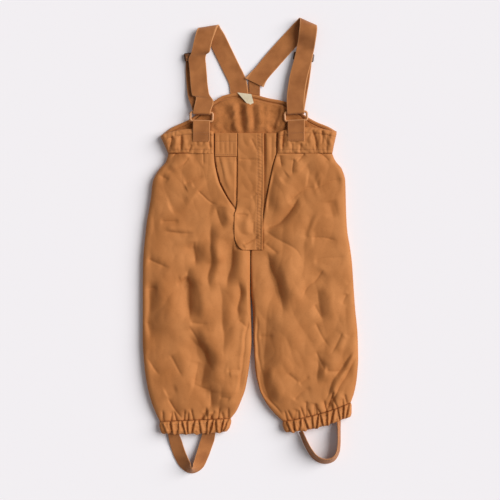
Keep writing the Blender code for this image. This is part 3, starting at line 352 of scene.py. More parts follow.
WAISTBAND = {
    Side.RIGHT: table(
        Section,
        (-144, 175.6, -58.6, 182.6, -7, 14, 12),
        (-142.5, 172, -58.6, 179, -6, 15.8, 12),
        (-137, 160.5, -58.6, 164, -2.5, 16.2, 12),
        (-131.6, 147.5, -58.6, 147.4, 0, 15.2, 12),
    ),
    Side.LEFT: table(
        Section,
        (137.6, 180.6, 43.6, 181.6, -8, 14, 12),
        (136.9, 177, 43.6, 178, -7, 15.8, 12),
        (133.6, 162.5, 43.2, 163, -2.5, 16.2, 12),
        (130.4, 147.5, 42.6, 147.4, 0, 15.2, 12),
    ),
}
BAND_CREASES = {
    Side.RIGHT: table(
        Crease,
        (-125, 176, -131, 148, 1, 2.6, 3.4, -3, CRISP),
        (-119, 176, -122, 150, 1, 4, 4, 1.6, SOFT),
        (-111, 178, -112, 148, 1, 2.6, 3.2, -3, CRISP),
        (-105, 170, -106, 150, 0, 4, 4, 1.2, SOFT),
        (-94, 162, -99, 148, 0, 2.6, 3, -1.8, CRISP),
        (-84, 162, -87, 148, 0, 4, 4, -0.6, SOFT),
        (-66, 184, -63, 148, -1, 2.6, 3, -2.2, CRISP),
    ),
    Side.LEFT: table(
        Crease,
        (53, 186, 50, 148, 0, 2.6, 3.2, -3, CRISP),
        (60, 184, 62, 150, 0, 4, 4, 1.2, SOFT),
        (66, 164, 66, 148, 0, 3, 3, -1.4, CRISP),
        (80, 164, 78, 148, 0, 3, 3, -2.2, CRISP),
        (97, 186, 104, 149, 3, 2.8, 3.4, -3, CRISP),
        (90, 164, 90, 150, 0, 4, 4, 1, SOFT),
        (112, 186, 113, 160, 2, 2.6, 3, -2.4, CRISP),
        (122, 180, 121, 148, 0, 3, 4, -1.4, CRISP),
        (128, 180, 127, 150, 0, 3, 3, 1.2, SOFT),
    ),
}

CUFF = {
    Side.RIGHT: table(
        Section,
        (-144.6, -280.2, -31.4, -275.2, 0, 12.6, 7.65),
        (-145.4, -284, -30.6, -279, 1, 13.8, 7.65),
        (-144.4, -292, -33, -289, 2.2, 14, 7.65),
        (-141.6, -298.4, -37.9, -296, 2.6, 12, 7.65),
    ),
    Side.LEFT: table(
        Section,
        (160.1, -250, 51.5, -279.8, 4, 12.6, 7.65),
        (161.4, -254, 51, -284, 4.2, 13.8, 7.65),
        (161.4, -265, 53.6, -293, 4.8, 14, 7.65),
        (160, -271, 57, -297.6, 5, 12, 7.65),
    ),
}
# Where each cuff's gathers lie across it, as shares of its width from the outer side.
# The waves of each cuff's foot in plan: height, turns across it and start.
CUFF_WAVES = ((0.9, 37.0, 0.0), (0.5, 71.0, 1.0))
CUFF_VALLEYS = {
    Side.RIGHT: (0.05, 0.15, 0.245, 0.335, 0.395, 0.48, 0.58, 0.67, 0.735, 0.81, 0.905, 0.96),
    Side.LEFT: (0.06, 0.13, 0.2, 0.29, 0.37, 0.45, 0.52, 0.6, 0.69, 0.78, 0.86, 0.94),
}

BIB_TOP = (
    (-144, 176), (-129, 188), (-100, 201.6), (-78, 217.6), (-58, 232),
    (-45, 240), (-20, 244.6), (7, 241.6), (28, 236.4), (56, 230.6),
    (74, 219.4), (88, 208.6), (106, 198.4), (125, 190.6), (137.6, 183),
)
BIB_FOOT = (-131.4, 130.6)
BIB_HEM = 5.0
BIB_HEM_RISE = 2.4
BIB_LINE = 1.2          # how far above the hem's turned edge it is sewn
BIB_HEM_ROWS = (0.0, 0.12, 0.4, 0.9, 1.6, 2.6, 3.6, 4.4, 5.0, 5.5, 6.2, 7.5)    # down from the top edge
LINING_SPAN = (-118.0, 116.0)
LINING_FOOT_Y = 166.0
LINING_INSET = 7.6
LINING_CREASES = table(
    Crease,
    (-27, 230, -22, 176, 0, 7, 7, 2.6, SOFT),
    (-9, 233, -4, 176, 3, 8, 7, 3.2, SOFT),
    (-18, 230, -13, 178, 1, 4, 4, -1, CRISP),
    (13, 230, 16, 176, 0, 8, 8, 2.6, SOFT),
    (3, 228, 6, 180, 0, 3, 4, -1, CRISP),
    (53, 226, 39, 176, 0, 10, 5, 3, LEANING),
    (-52, 226, -58, 178, 0, 9, 9, 1.6, SOFT),
    (26, 228, 27, 180, 0, 4, 4, 1, SOFT),
)

FLY_ROWS = table(
    PlanRow,
    (180, -60, 42.5), (147, -65, 48), (102, -57, 38),
    (77, -45, 32.5), (56, -30, 28), (38, -13, 25),
    (16, -10, 20), (-2, -8, 12),
)
FLY_MARGIN = 6.0
FLY_CREASES = table(
    Crease,
    (-47, 144, -28, 82, -3, 6, 4, 1.5, SOFT),
    (-52, 146, -42, 104, 1, 3, 3, -1, CRISP),
    (-34, 144, -28, 108, 1, 5, 4, 0.8, SOFT),
    (27, 178, 30, 120, 0, 4, 4, 0.8, SOFT),
    (34, 178, 33, 130, 0, 3, 3, -0.8, CRISP),
)
FLAP_ROWS = table(
    PlanRow,
    (180, -20.8, 21), (120, -20.8, 21.6), (72, -21.4, 21),
    (58, -22.8, 20.4), (50, -25.6, 20), (21, -26, 19.6),
    (-6.4, -25.4, 19.4),
)
PRESSED_X = (-27.0, 22.0)       # where the flap lies on the legs
PRESSED_Y = (-9.0, 64.0)
PRESSED_EDGE = 6.0
PRESSED_TOP_EDGE = 10.0
FLAP_CORNER = (16.0, 27.0)
FLAP_CORNER_END = 0.985
FLAP_CREASES = table(
    Crease,
    (0, 172, 11, 148, 1, 3, 3, -0.9, CRISP),
    (-20, 138, 18, 137, 0, 2, 2, -0.8, CRISP),
    (-22, 50, -2, 49, 0, 1.6, 4, -1.3, CRISP),
    (10, 84, 1, 76, 0, 3, 3, -0.8, CRISP),
    (-12, 3, 14, 19, -2, 3, 3, -1.2, CRISP),
    (-12, -1, 12, 12, -2, 3, 3, 0.9, SOFT),
    (-8, 42, -6, 16, 0, 6, 6, 0.8, SOFT),
    (5, 40, 4, 18, 0, 4, 4, -0.8, CRISP),
)
FACING_SPAN = (-57.0, -21.4)
FACING_Y = (142.4, 180.0)
FACING_LINES = (166.5, 145.5)   # where it is sewn
FACING_CREASES = table(
    Crease,
    (-50, 180, -49, 144, 0, 2.4, 2.4, -0.7, CRISP),
    (-42, 166, -41, 144, 0, 2.4, 2.4, -0.6, CRISP),
    (-35, 180, -34, 144, 0, 2.4, 2.4, -0.7, CRISP),
    (-28, 166, -28, 144, 0, 2.4, 2.4, -0.6, CRISP),
)

# Hardware.
RING_SIZE = (39.0, 17.3)
RING_BAR = 3.6
RING_CORNER = 3.1
RING_Z = 12.3
RING_PLACE = {Side.RIGHT: (-77.9, 205.8, -2.0), Side.LEFT: (72.2, 206.4, 3.0)}
SLIDER_SIZE = (33.0, 12.8, 2.2)
SLIDER_CORNER = 2.2
SLIDER_SLOT = (28.8, 3.2)
SLIDER_MIDDLE_BAR = 2.4
SLIDER_Z = 4.2
SLIDER_PLACE = {Side.RIGHT: (-89.6, 303.2, 8.0), Side.LEFT: (84.8, 302.0, -8.0)}
WEBBING_WIDTH = 27.6
WRAP_CLEARANCE = 0.3
TAB_WIDTH = 27.0
TAB_FOOT_Y = {Side.RIGHT: 166.0, Side.LEFT: 166.8}
TAB_TAIL = 8.0
TAB_SLOPE = (9.0, 14.0)
SLIDER_EASE = 0.45
SLIDER_SHARP_ANGLE = 35.0
SLIDER_TAIL = 6.0

BRACE_FRONT = {
    Side.RIGHT: table(
        Station,
        (-17.6, 243.4, 1.2, 1, 0, 29.2),
        (-20.6, 262, 1.1, 18, 0, 28.4),
        (-31.2, 285, 1, 26, 0, 28),
        (-43.8, 311, 1, 26, 0, 28),
        (-55.8, 335, 1.2, 22, 0, 28.5),
        (-63.6, 346, 2.2, 14, 0, 31),
        (-66.6, 350.4, 5.6, 9, 0, 32.6),
        (-69, 346.6, 9.4, 2, 0, 31.5),
        (-73.4, 334, 11.2, -9, 0, 29),
        (-77.1, 320, 12.4, -9, 0, 28.4),
        (-78.8, 311.5, 12.6, -9, 0, 28.4),
        (-80.6, 307.4, 11.6, 0, 0, 28),
        (-84.2, 303.2, 9.8, 8, 0, 27.6),
        (-85.2, 299.4, 9.5, 4, 0, 27.4),
        (-84.5, 289.6, 9.4, 2, 0, 27.4),
        (-83.2, 273.6, 9.2, 3, 0, 27.4),
        (-82, 257.6, 9.6, 3, 0, 27.6),
        (-80.6, 247, 10.2, 3, 0, 27.6),
        (-79.2, 240.4, 10.6, 2, 0, 27.8),
        (-73.2, 234.4, 11.4, -11, 0, 28.4),
        (-73.4, 228, 12.8, -9, 0, 28.8),
        (-75.8, 219.8, 14.8, -4, 0, 28.2),
    ),
    Side.LEFT: table(
        Station,
        (6, 260.8, 3.9, -26, 0, 33),
        (13.4, 270.6, 3.4, -40, 0, 28.4),
        (34.4, 296.2, 1.6, -42, 0, 28),
        (54.2, 318.6, 1.2, -42, 0, 28),
        (71, 337, 1.3, -38, 0, 28),
        (84, 351, 3.2, -31, 0, 28.4),
        (91.6, 357.8, 8.4, -24, 0, 28.8),
        (92.4, 352, 14, -16, 0, 28.6),
        (91.2, 339, 14.4, -9.5, 0, 28.6),
        (90.2, 331, 12.9, -9, 10, 28.6),
        (88.6, 320.5, 11, -9, 9, 28.4),
        (87.2, 313, 9.8, -8, 0, 28),
        (84.6, 301, 9.5, -8, 0, 28),
        (81.6, 289, 9.4, -9, 0, 28.4),
        (77.1, 272, 9.4, -8, 0, 28.6),
        (73.9, 254.4, 9.9, -6, 0, 28.6),
        (71.9, 237, 11.7, -3, 0, 28.4),
        (71.6, 223, 14.6, 1, 0, 28),
    ),
}
BRACE_RETURN = {
    Side.RIGHT: table(
        Station,
        (-80.6, 223, 9, 0, 0, 27.6),
        (-85.8, 238, 6, 3, 0, 27.6),
        (-88.4, 258, 3, 3, 0, 27.6),
        (-89.8, 282, 1.9, 4, 0, 27.6),
    ),
    Side.LEFT: table(
        Station,
        (73.6, 226, 8.6, -2, 0, 27.6),
        (76.4, 242, 4.8, -5, 0, 27.6),
        (80.2, 264, 2.4, -8, 0, 27.6),
        (83.2, 286, 1.9, -8, 0, 27.6),
    ),
}
FOOT_LOOP = {
    Side.RIGHT: table(
        Station,
        (-122.4, -301.8, 6.6, 2, 8, 18.5),
        (-119.8, -311.4, 4.6, 8, 10, 20.4),
        (-116.6, -322.6, 3.8, 14, 15, 21),
        (-111, -336.6, 5, 21, 22, 21.6),
        (-103.6, -349.4, 6.8, 36, 34, 22),
        (-93.6, -358.2, 10, 82, 62, 22),
        (-84.6, -351, 7.6, 140, 40, 22),
        (-78, -336.8, 5.6, 160, 26, 22),
        (-72, -319.4, 4.2, 167, 16, 22),
        (-68.2, -307.6, 4.8, 173, 10, 22),
        (-66.8, -300.2, 6.6, 177, 6, 21),
    ),
    Side.LEFT: table(
        Station,
        (81.8, -299.6, 7.6, 32, 62, 14),
        (84.2, -305.2, 8.8, 31, 68, 18),
        (88.4, -314.4, 10.2, 31, 70, 21.5),
        (94.2, -325, 10.4, 36, 69, 22),
        (101.8, -335.2, 10.2, 48, 66, 22),
        (111.4, -341.6, 10, 70, 64, 22),
        (121.8, -343.2, 10, 92, 64, 22),
        (131.4, -340, 10.2, 122, 67, 22),
        (138.2, -331, 10.6, 152, 73, 22),
        (140.9, -317.6, 10.8, 173, 76, 22),
        (141.2, -301.6, 10.4, 180, 76, 21),
        (141.1, -288.4, 9, 180, 72, 17),
        (141, -282.8, 8, 180, 66, 14),
    ),
}
LOOP_REST_Z = 0.1

PATCH_SPAN = (-3.4, 15.2)
PATCH_Y = (244.0, 266.0)
PATCH_Z = 0.9
LABEL_CORNERS = ((-21.0, 244.8), (1.2, 242.2), (5.0, 228.2), (-2.8, 224.0))
LABEL_HEIGHTS = (7.3, 7.3, 8.6, 10.4)


# ---------------------------------------------------------------- finishes


def screen(red: float, green: float, blue: float) -> Colour:
    """Turn screen values from 0 to 255 into a linear colour.

    Args:
        red: Red as a screen shows it.
        green: Green as a screen shows it.
        blue: Blue as a screen shows it.

    Returns:
        The linear colour, with full alpha.
    """
    linear = []
    for value in (red, green, blue):
        share = value / 255.0
        linear.append(share / 12.92 if share <= 0.04045 else ((share + 0.055) / 1.055) ** 2.4)
    return (linear[0], linear[1], linear[2], 1.0)


# Sockets of a Mix node that mixes colours.
MIX_SHARE, MIX_LOW, MIX_HIGH, MIX_COLOUR = 0, 6, 7, 2


class Shader:
    """A Principled material while it is put together."""

    def __init__(self, name: str, roughness: float) -> None:
        """Start a material of that name and roughness.

        Args:
            name: The material's name.
            roughness: Its roughness.
        """
        self.material = bpy.data.materials.new(name)
        self.material.use_nodes = True
        self.tree = self.material.node_tree
        self.surface = self.tree.nodes["Principled BSDF"]
        self.surface.inputs["Roughness"].default_value = roughness

    def add(self, kind: str, **sockets: object) -> bpy.types.Node:
        """Add a node and set its input sockets.

        Args:
            kind: The node's type name.
            sockets: Values by socket name, with _ for a space.

        Returns:
            The new node.
        """
        node = self.tree.nodes.new(kind)
        for name, value in sockets.items():
            node.inputs[name.replace("_", " ")].default_value = value
        return node

    def link(self, output: Socket, socket: Socket) -> None:
        """Join an output to an input."""
        self.tree.links.new(output, socket)

    def place(self, kind: str) -> Socket:
        """Return the Object or the UV coordinates of the texture."""
        return self.add("ShaderNodeTexCoord").outputs[kind]

    def noise(self, where: Socket, scale: float, detail: float) -> Socket:
        """Return a noise between 0 and 1.

        Args:
            where: The coordinates it reads, in metres.
            scale: Its grains to the metre.
            detail: Its octaves.

        Returns:
            The noise's value.
        """
        node = self.add("ShaderNodeTexNoise", Scale=scale, Detail=detail)
        self.link(where, node.inputs["Vector"])
        return node.outputs["Fac"]

    def waves(self, where: Socket, pitch: float, axis: str) -> Socket:
        """Return even waves between 0 and 1 across one axis.

        Args:
            where: The coordinates they read, in metres.
            pitch: Their spacing in millimetres.
            axis: X, Y or DIAGONAL.

        Returns:
            The waves' value.
        """
        node = self.add("ShaderNodeTexWave", Scale=math.pi / (10.0 * pitch * MM), Distortion=0.0)
        node.bands_direction = axis
        self.link(where, node.inputs["Vector"])
        return node.outputs["Fac"]

    def mixed(self, values: dict[int, object], links: dict[int, Socket], way: str = "MIX") -> Socket:
        """Return a mix of two colours.

        Args:
            values: Values by socket of the Mix node.
            links: What its other sockets take.
            way: How the second colour goes over the first.

        Returns:
            The mixed colour.
        """
        node = self.tree.nodes.new("ShaderNodeMix")
        node.data_type = "RGBA"
        node.blend_type = way
        for index, value in values.items():
            node.inputs[index].default_value = value
        for index, output in links.items():
            self.link(output, node.inputs[index])
        return node.outputs[MIX_COLOUR]

    def set(self, **sockets: object) -> None:
        """Set sockets of the surface.

        Args:
            sockets: Values by socket name, with _ for a space.
        """
        for name, value in sockets.items():
            self.surface.inputs[name.replace("_", " ")].default_value = value

    def paint(self, colour: Socket) -> None:
        """Give the surface its colour."""
        self.link(colour, self.surface.inputs["Base Color"])

    def blend(self, share: Socket, low: Colour, high: Colour) -> Socket:
        """Return a colour between two, by a share between 0 and 1.

        Args:
            share: How far towards the second colour.
            low: The colour at 0.
            high: The colour at 1.

        Returns:
            The mixed colour.
        """
        return self.mixed({MIX_LOW: low, MIX_HIGH: high}, {MIX_SHARE: share})

    def shade(self, colour: Socket, share: Socket, strength: float) -> Socket:
        """Darken a colour where a share is low, by up to strength.

        Args:
            colour: The colour.
            share: What darkens it where it is low.
            strength: The most.

        Returns:
            The shaded colour.
        """
        return self.mixed({MIX_SHARE: strength}, {MIX_LOW: colour, MIX_HIGH: share}, "MULTIPLY")

    def tint(self, colour: Socket, share: Socket, other: Colour) -> Socket:
        """Turn a colour into another one where a share is high.

        Args:
            colour: The colour.
            share: Where it turns.
            other: What it turns into.

        Returns:
            The tinted colour.
        """
        return self.mixed({MIX_HIGH: other}, {MIX_SHARE: share, MIX_LOW: colour})

    def off_middle(self, cloth: Socket) -> Socket:
        """Return how far from a strap's middle line a place lies, in metres.

        Args:
            cloth: The strap's UV coordinates.

        Returns:
            The distance.
        """
        split = self.add("ShaderNodeSeparateXYZ")
        self.link(cloth, split.inputs["Vector"])
        far = self.tree.nodes.new("ShaderNodeMath")
        far.operation = "ABSOLUTE"
        self.link(split.outputs["X"], far.inputs[0])
        return far.outputs["Value"]

    def ramp(self, share: Socket, low: float, high: float) -> Socket:
        """Spread a share out so that low becomes 0 and high becomes 1.

        Args:
            share: The value that is spread.
            low: What becomes 0.
            high: What becomes 1.

        Returns:
            The spread value.
        """
        node = self.add("ShaderNodeMapRange", From_Min=low, From_Max=high)
        self.link(share, node.inputs["Value"])
        return node.outputs["Result"]

    def relief(self, layers: list[tuple[Socket, float]]) -> None:
        """Raise the surface by layers, each a height between 0 and 1 and its depth in millimetres.

        Args:
            layers: The layers, the coarsest first.
        """
        normal = None
        for height, depth in layers:
            node = self.add("ShaderNodeBump", Strength=1.0, Distance=depth * MM)
            self.link(height, node.inputs["Height"])
            if normal is not None:
                self.link(normal, node.inputs["Normal"])
            normal = node.outputs["Normal"]
        self.link(normal, self.surface.inputs["Normal"])


@dataclass(frozen=True)
class Finish:
    """What every finish has: its roughness, and the way to its material."""

    roughness: float = 0.5

    def mix(self, shader: Shader) -> None:
        """Put the finish's colour, gloss and relief into a shader."""

    def material(self, name: str) -> bpy.types.Material:
        """Return the finish as a new material.

        Args:
            name: The material's name.

        Returns:
            The material.
        """
        shader = Shader(name, self.roughness)
        self.mix(shader)
        return shader.material


@dataclass(frozen=True)
class NylonFinish(Finish):
    """Padded nylon taffeta: a fine plain weave with a satin sheen and small crumples."""

    roughness: float = 0.58
    light: Colour = screen(189, 123, 72)
    dark: Colour = screen(175, 110, 61)
    thread_pitch: float = 0.7

    def mix(self, shader: Shader) -> None:
        """Mix a slightly mottled colour, the sheen, small crumples and the weave.

        Args:
            shader: The shader that takes the finish.
        """
        place = shader.place("Object")
        cloth = shader.place("UV")
        patches = shader.ramp(shader.noise(place, 22.0, 3.0), 0.3, 0.7)
        grain = shader.noise(place, 420.0, 2.0)
        colour = shader.blend(patches, self.dark, self.light)
        colour = shader.shade(colour, shader.ramp(grain, 0.2, 0.45), 0.12)
        shader.paint(colour)
        shader.set(
            Specular_IOR_Level=0.32, Specular_Tint=screen(255, 205, 150), Sheen_Weight=0.06,
            Sheen_Roughness=0.5, Sheen_Tint=screen(250, 204, 156),
        )
        shader.relief([
            (shader.noise(place, 60.0, 2.0), 0.3),
            (shader.noise(place, 150.0, 3.0), 0.12),
            (shader.waves(cloth, self.thread_pitch, "X"), 0.02),
            (shader.waves(cloth, self.thread_pitch, "Y"), 0.02),
        ])


@dataclass(frozen=True)
class LiningFinish(Finish):
    """A brushed, matt lining with a short soft nap."""

    roughness: float = 0.92
    light: Colour = screen(186, 117, 64)
    dark: Colour = screen(164, 100, 50)

    def mix(self, shader: Shader) -> None:
        """Mix a streaked colour and the nap, with painted shade in the nap's hollows.

        Args:
            shader: The shader that takes the finish.
        """
        place = shader.place("Object")
        nap = shader.noise(place, 900.0, 3.0)
        streaks = shader.noise(place, 60.0, 3.0)
        colour = shader.blend(shader.ramp(streaks, 0.3, 0.7), self.dark, self.light)
        # Painted shade: the colour is darker where the nap's relief is low.
        colour = shader.shade(colour, shader.ramp(nap, 0.25, 0.6), 0.3)
        shader.paint(colour)
        shader.set(
            Sheen_Weight=0.35, Sheen_Roughness=0.6, Sheen_Tint=screen(236, 178, 128),
            Specular_IOR_Level=0.2,
        )
        shader.relief([(nap, 0.5), (shader.noise(place, 180.0, 2.0), 0.5)])


@dataclass(frozen=True)
class WebbingFinish(Finish):
    """Woven webbing: fine ribs along it, crossed by a weft, on the strap's own UV map, with painted shade
    in their grooves and a painted highlight along both edges.
    """

    roughness: float = 0.78
    light: Colour = screen(194, 123, 66)
    dark: Colour = screen(158, 94, 44)
    # The colour below is a painted highlight along both edges of the strap, where light catches them.
    edge_highlight: Colour = screen(208, 142, 88)
    half_width: float = 13.6
    edge_highlight_fade: float = 1.3
    rib_pitch: float = 1.5
    weft_pitch: float = 1.1

    def mix(self, shader: Shader) -> None:
        """Mix a colour with painted shade in the grooves of the ribs and weft, a painted highlight along
        both edges, and the ribs' and weft's relief.

        Args:
            shader: The shader that takes the finish.
        """
        cloth = shader.place("UV")
        ribs = shader.waves(cloth, self.rib_pitch, "X")
        weft = shader.waves(cloth, self.weft_pitch, "Y")
        patches = shader.ramp(shader.noise(shader.place("Object"), 45.0, 3.0), 0.25, 0.75)
        colour = shader.blend(patches, self.dark, self.light)
        # Painted shade: the colour is darker in the grooves of the ribs and the weft, the same waves that
        # give their relief.
        colour = shader.shade(colour, shader.ramp(ribs, -0.6, 0.5), 0.4)
        colour = shader.shade(colour, shader.ramp(weft, -0.8, 0.5), 0.35)
        # Painted highlight: the colour turns lighter towards both edges of the strap.
        inner = (self.half_width - self.edge_highlight_fade) * MM
        edge = shader.ramp(shader.off_middle(cloth), inner, self.half_width * MM)
        colour = shader.tint(colour, edge, self.edge_highlight)
        shader.paint(colour)
        shader.set(Sheen_Weight=0.15, Specular_IOR_Level=0.3)
        shader.relief([(ribs, 0.18), (weft, 0.22)])


@dataclass(frozen=True)
class PlasticFinish(Finish):
    """Moulded acetal: satin, evenly coloured, with a faint flow grain."""

    roughness: float = 0.36
    colour: Colour = screen(204, 146, 98)
    deep: Colour = screen(192, 132, 84)

    def mix(self, shader: Shader) -> None:
        """Mix an even colour with a faint flow in it.

        Args:
            shader: The shader that takes the finish.
        """
        place = shader.place("Object")
        flow = shader.noise(place, 120.0, 2.0)
        shader.paint(shader.blend(flow, self.deep, self.colour))
        shader.relief([(shader.noise(place, 2400.0, 2.0), 0.02)])


@dataclass(frozen=True)
class LabelFinish(Finish):
    """Bare woven satin tape."""

    roughness: float = 0.6
    light: Colour = screen(224, 209, 178)
    dark: Colour = screen(206, 188, 154)

    def mix(self, shader: Shader) -> None:
        """Mix a pale colour crossed by the weave, with painted shade in the weave's hollows.

        Args:
            shader: The shader that takes the finish.
        """
        cloth = shader.place("UV")
        weave = shader.waves(cloth, 0.8, "Y")
        colour = shader.blend(shader.noise(shader.place("Object"), 300.0, 2.0), self.dark, self.light)
        # Painted shade: the colour is darker where the weave's relief is low.
        colour = shader.shade(colour, shader.ramp(weave, -1.0, 0.6), 0.2)
        shader.paint(colour)
        shader.set(Sheen_Weight=0.2)
        shader.relief([(weave, 0.08)])


@dataclass(frozen=True)
class ThreadFinish(Finish):
    """Twisted polyester thread, a shade darker than the cloth."""

    light: Colour = screen(170, 106, 58)
    dark: Colour = screen(120, 70, 34)

    def mix(self, shader: Shader) -> None:
        """Mix a grainy colour.

        Args:
            shader: The shader that takes the finish.
        """
        grain = shader.noise(shader.place("Object"), 2500.0, 2.0)
        colour = shader.blend(shader.ramp(grain, 0.3, 0.7), self.dark, self.light)
        shader.paint(colour)
        shader.set(Sheen_Weight=0.1)


@dataclass(frozen=True)
class FloorFinish(Finish):
    """A plain pale studio floor."""

    roughness: float = 0.9
    colour: Colour = (0.93, 0.903, 0.927, 1.0)

    def mix(self, shader: Shader) -> None:
        """Mix one plain colour.

        Args:
            shader: The shader that takes the finish.
        """
        shader.set(Base_Color=self.colour, Specular_IOR_Level=0.0)


class Wardrobe:
    """Every material of the garment, each made once."""

    def __init__(self) -> None:
        """Make the materials."""
        self.shell = NylonFinish().material("shell_nylon")
        self.lining = LiningFinish().material("brushed_lining")
        self.webbing = WebbingFinish().material("woven_webbing")
        self.narrow_webbing = WebbingFinish(half_width=11.0).material("narrow_webbing")
        self.plastic = PlasticFinish().material("satin_plastic")
        dark = PlasticFinish(colour=screen(128, 80, 46), deep=screen(104, 63, 35))
        self.dark_plastic = dark.material("dark_plastic")
        self.label = LabelFinish().material("satin_tape")
        self.thread = ThreadFinish().material("sewing_thread")
        self.floor = FloorFinish().material("studio_floor")


# ---------------------------------------------------------------- shaping cloth


def ease(share: Array | float) -> Array:
    """Ease a share between 0 and 1."""
    share = np.clip(share, 0.0, 1.0)
    return share * share * (3.0 - 2.0 * share)


def monotone(knots: Array, values: Array, at: Array) -> Array:
    """Read a smooth curve through knots that never swings past them.

    Args:
        knots: Where the rows of values lie.
        values: A row for each knot.
        at: The places to read.

    Returns:
        A row for each place.
    """
    knots, values, at = (np.asarray(a, float) for a in (knots, values, at))
    step = np.diff(knots)[:, None]
    slope = np.diff(values, axis=0) / step
    tangent = np.vstack([slope[:1], np.zeros_like(slope[1:]), slope[-1:]])
    before, after = slope[:-1], slope[1:]
    same_way = before * after > 0.0
    total = np.where(same_way, before + after, 1.0)
    tangent[1:-1] = np.where(same_way, 2.0 * before * after / total, 0.0)
    index = np.clip(np.searchsorted(knots, at, side="right") - 1, 0, len(knots) - 2)
    width = step[index]
    share = ((at - knots[index]) / step[index, 0])[:, None]
    near, far = values[index], values[index + 1]
    leave, arrive = tangent[index] * width, tangent[index + 1] * width
    return (
        near * (1 + 2 * share) * (1 - share) ** 2
        + leave * share * (1 - share) ** 2
        + far * share ** 2 * (3 - 2 * share)
        - arrive * share ** 2 * (1 - share)
    )


def groove(distance: Array, width: float) -> Array:
    """Return a groove's share of its depth at a distance from its line."""
    return np.exp(-(distance / width) ** 2)


def rolled(distance: Array, roll: float) -> Array:
    """Return how far cloth has turned over at a distance in from its edge, from 0 to 1."""
    share = np.clip(distance / roll, 0.0, 1.0)
    return np.sqrt(np.maximum(0.0, 1.0 - (1.0 - share) ** 2))


def places_between(length: float, near_roll: float, far_roll: float, spacing: float,
                   count: int = 0) -> Array:
    """Return distances along a length, close together in its two rolls.

    Args:
        length: The whole length.
        near_roll: Depth of the roll at its start.
        far_roll: Depth of the roll at its end.
        spacing: Distance between the even places in the middle.
        count: How many even places there are, instead of by spacing.

    Returns:
        The distances, from 0 to length.
    """
    middle = count or max(2, round((length - near_roll - far_roll) / spacing))
    near = [near_roll * step for step in ROLL_STEPS]
    far = [length - far_roll * step for step in reversed(ROLL_STEPS)]
    between = np.linspace(near_roll, length - far_roll, middle + 2)[1:-1]
    return np.array(near + list(between) + far)


def leaning(across: Array, fair: float, steep: float) -> Array:
    """Return the profile of a fold that leans over to its right.

    Args:
        across: Distances to the left of its top line.
        fair: Reach of its fair side.
        steep: Reach of its steep side, down to the pinched line.

    Returns:
        Heights from -0.5 in the pinched line to 0.5 along the top.
    """
    down = -across
    top = 0.25 * (1.0 + np.cos(math.pi * np.clip(across / (2.7 * fair), 0.0, 1.0)))
    face = 0.5 - (1.0 - np.cos(0.5 * math.pi * np.clip(down / steep, 0.0, 1.0)))
    beyond = -0.5 * np.clip(1.0 - (down - steep) / (1.5 * steep + 4.0), 0.0, 1.0) ** 2
    return np.where(across > 0.0, top, np.where(down < steep, face, beyond))


def creased(creases: tuple[Crease, ...], plan: Array, spread: float = 1.0) -> Array:
    """Return the height that creases add over the plan.

    Args:
        creases: The creases.
        plan: Plan points, rows by columns by two.
        spread: By how much the soft and the crisp creases are widened.

    Returns:
        The height at each point.
    """
    total = np.zeros(plan.shape[:2])
    for crease in creases:
        run_x, run_y = crease.end_x - crease.start_x, crease.end_y - crease.start_y
        length = math.hypot(run_x, run_y)
        away_x, away_y = plan[:, :, 0] - crease.start_x, plan[:, :, 1] - crease.start_y
        along = (away_x * run_x + away_y * run_y) / length ** 2
        across = (away_y * run_x - away_x * run_y) / length
        inside = np.clip(along, 0.0, 1.0)
        across = across - crease.bend * 4.0 * inside * (1.0 - inside)
        far = np.abs(across) / (spread * np.where(across > 0.0, crease.left, crease.right))
        taper = ease(along / 0.16) * ease((1.0 - along) / 0.3)
        if crease.crest is SOFT:
            shape = np.exp(-far ** 2)
        elif crease.crest is CRISP:
            shape = (0.8 * np.clip(1.0 - far / 1.8, 0.0, 1.0) ** 2
                     + 0.2 * np.clip(1.0 - np.abs(across) / PINCH, 0.0, 1.0))
        else:
            shape = leaning(across, crease.left, crease.right)
            taper = ease((along + 0.08) / 0.36) * ease((1.08 - along) / 0.4)
        total += crease.height * taper * shape
    return total


def crumpled(plan: Array, scale: float, seed: float) -> Array:
    """Return low puffs between pinched lines, like those of padded cloth.

    Args:
        plan: Plan points, rows by columns by two.
        scale: Size of a puff in millimetres, across. Puffs are longer along the garment.
        seed: Which pattern.

    Returns:
        Heights around 0, mostly between -1 and 1.
    """
    flat = []
    for px, py in plan.reshape(-1, 2):
        sway = 0.35 * noise.noise(Vector((px / (2.2 * scale), py / (2.2 * scale), seed + 7.0)))
        value = noise.noise(Vector((px / scale + sway, py / (1.6 * scale) - sway, seed)))
        flat.append(abs(value))
    return np.array(flat).reshape(plan.shape[:2]) / 0.22 - 1.0


def swayed(plan: Array, sway: float) -> Array:
    """Shift a plan smoothly, so that the straight lines on it wander.

    Args:
        plan: Plan points, rows by columns by two.
        sway: About the furthest that a point is shifted.

    Returns:
        The shifted points.
    """
    shift = [
        [noise.noise(Vector((px / SWAY_REACH, py / SWAY_REACH, level))) for px, py in plan.reshape(-1, 2)]
        for level in SWAY_LEVELS
    ]
    return plan + 2.0 * sway * np.array(shift).T.reshape(plan.shape)


def blurred(grid: Array, passes: int = 1) -> Array:
    """Relax a grid of heights.

    Args:
        grid: The heights.
        passes: How many times each is averaged with its neighbours.

    Returns:
        The relaxed heights.
    """
    for _ in range(passes):
        wide = np.pad(grid, 1, mode="edge")
        rows = (wide[:-2] + 2.0 * wide[1:-1] + wide[2:]) / 4.0
        grid = (rows[:, :-2] + 2.0 * rows[:, 1:-1] + rows[:, 2:]) / 4.0
    return grid


def run_along(grid: Array, axis: int) -> Array:
    """Return how far along a grid of points each one lies, measured on the surface.

    Args:
        grid: Points, rows by columns by three.
        axis: 0 runs down the rows and 1 along them.

    Returns:
        A distance for each point.
    """
    steps = np.linalg.norm(np.diff(grid, axis=axis), axis=2)
    start = np.zeros_like(np.take(steps, [0], axis=axis))
    return np.concatenate([start, np.cumsum(steps, axis=axis)], axis=axis)


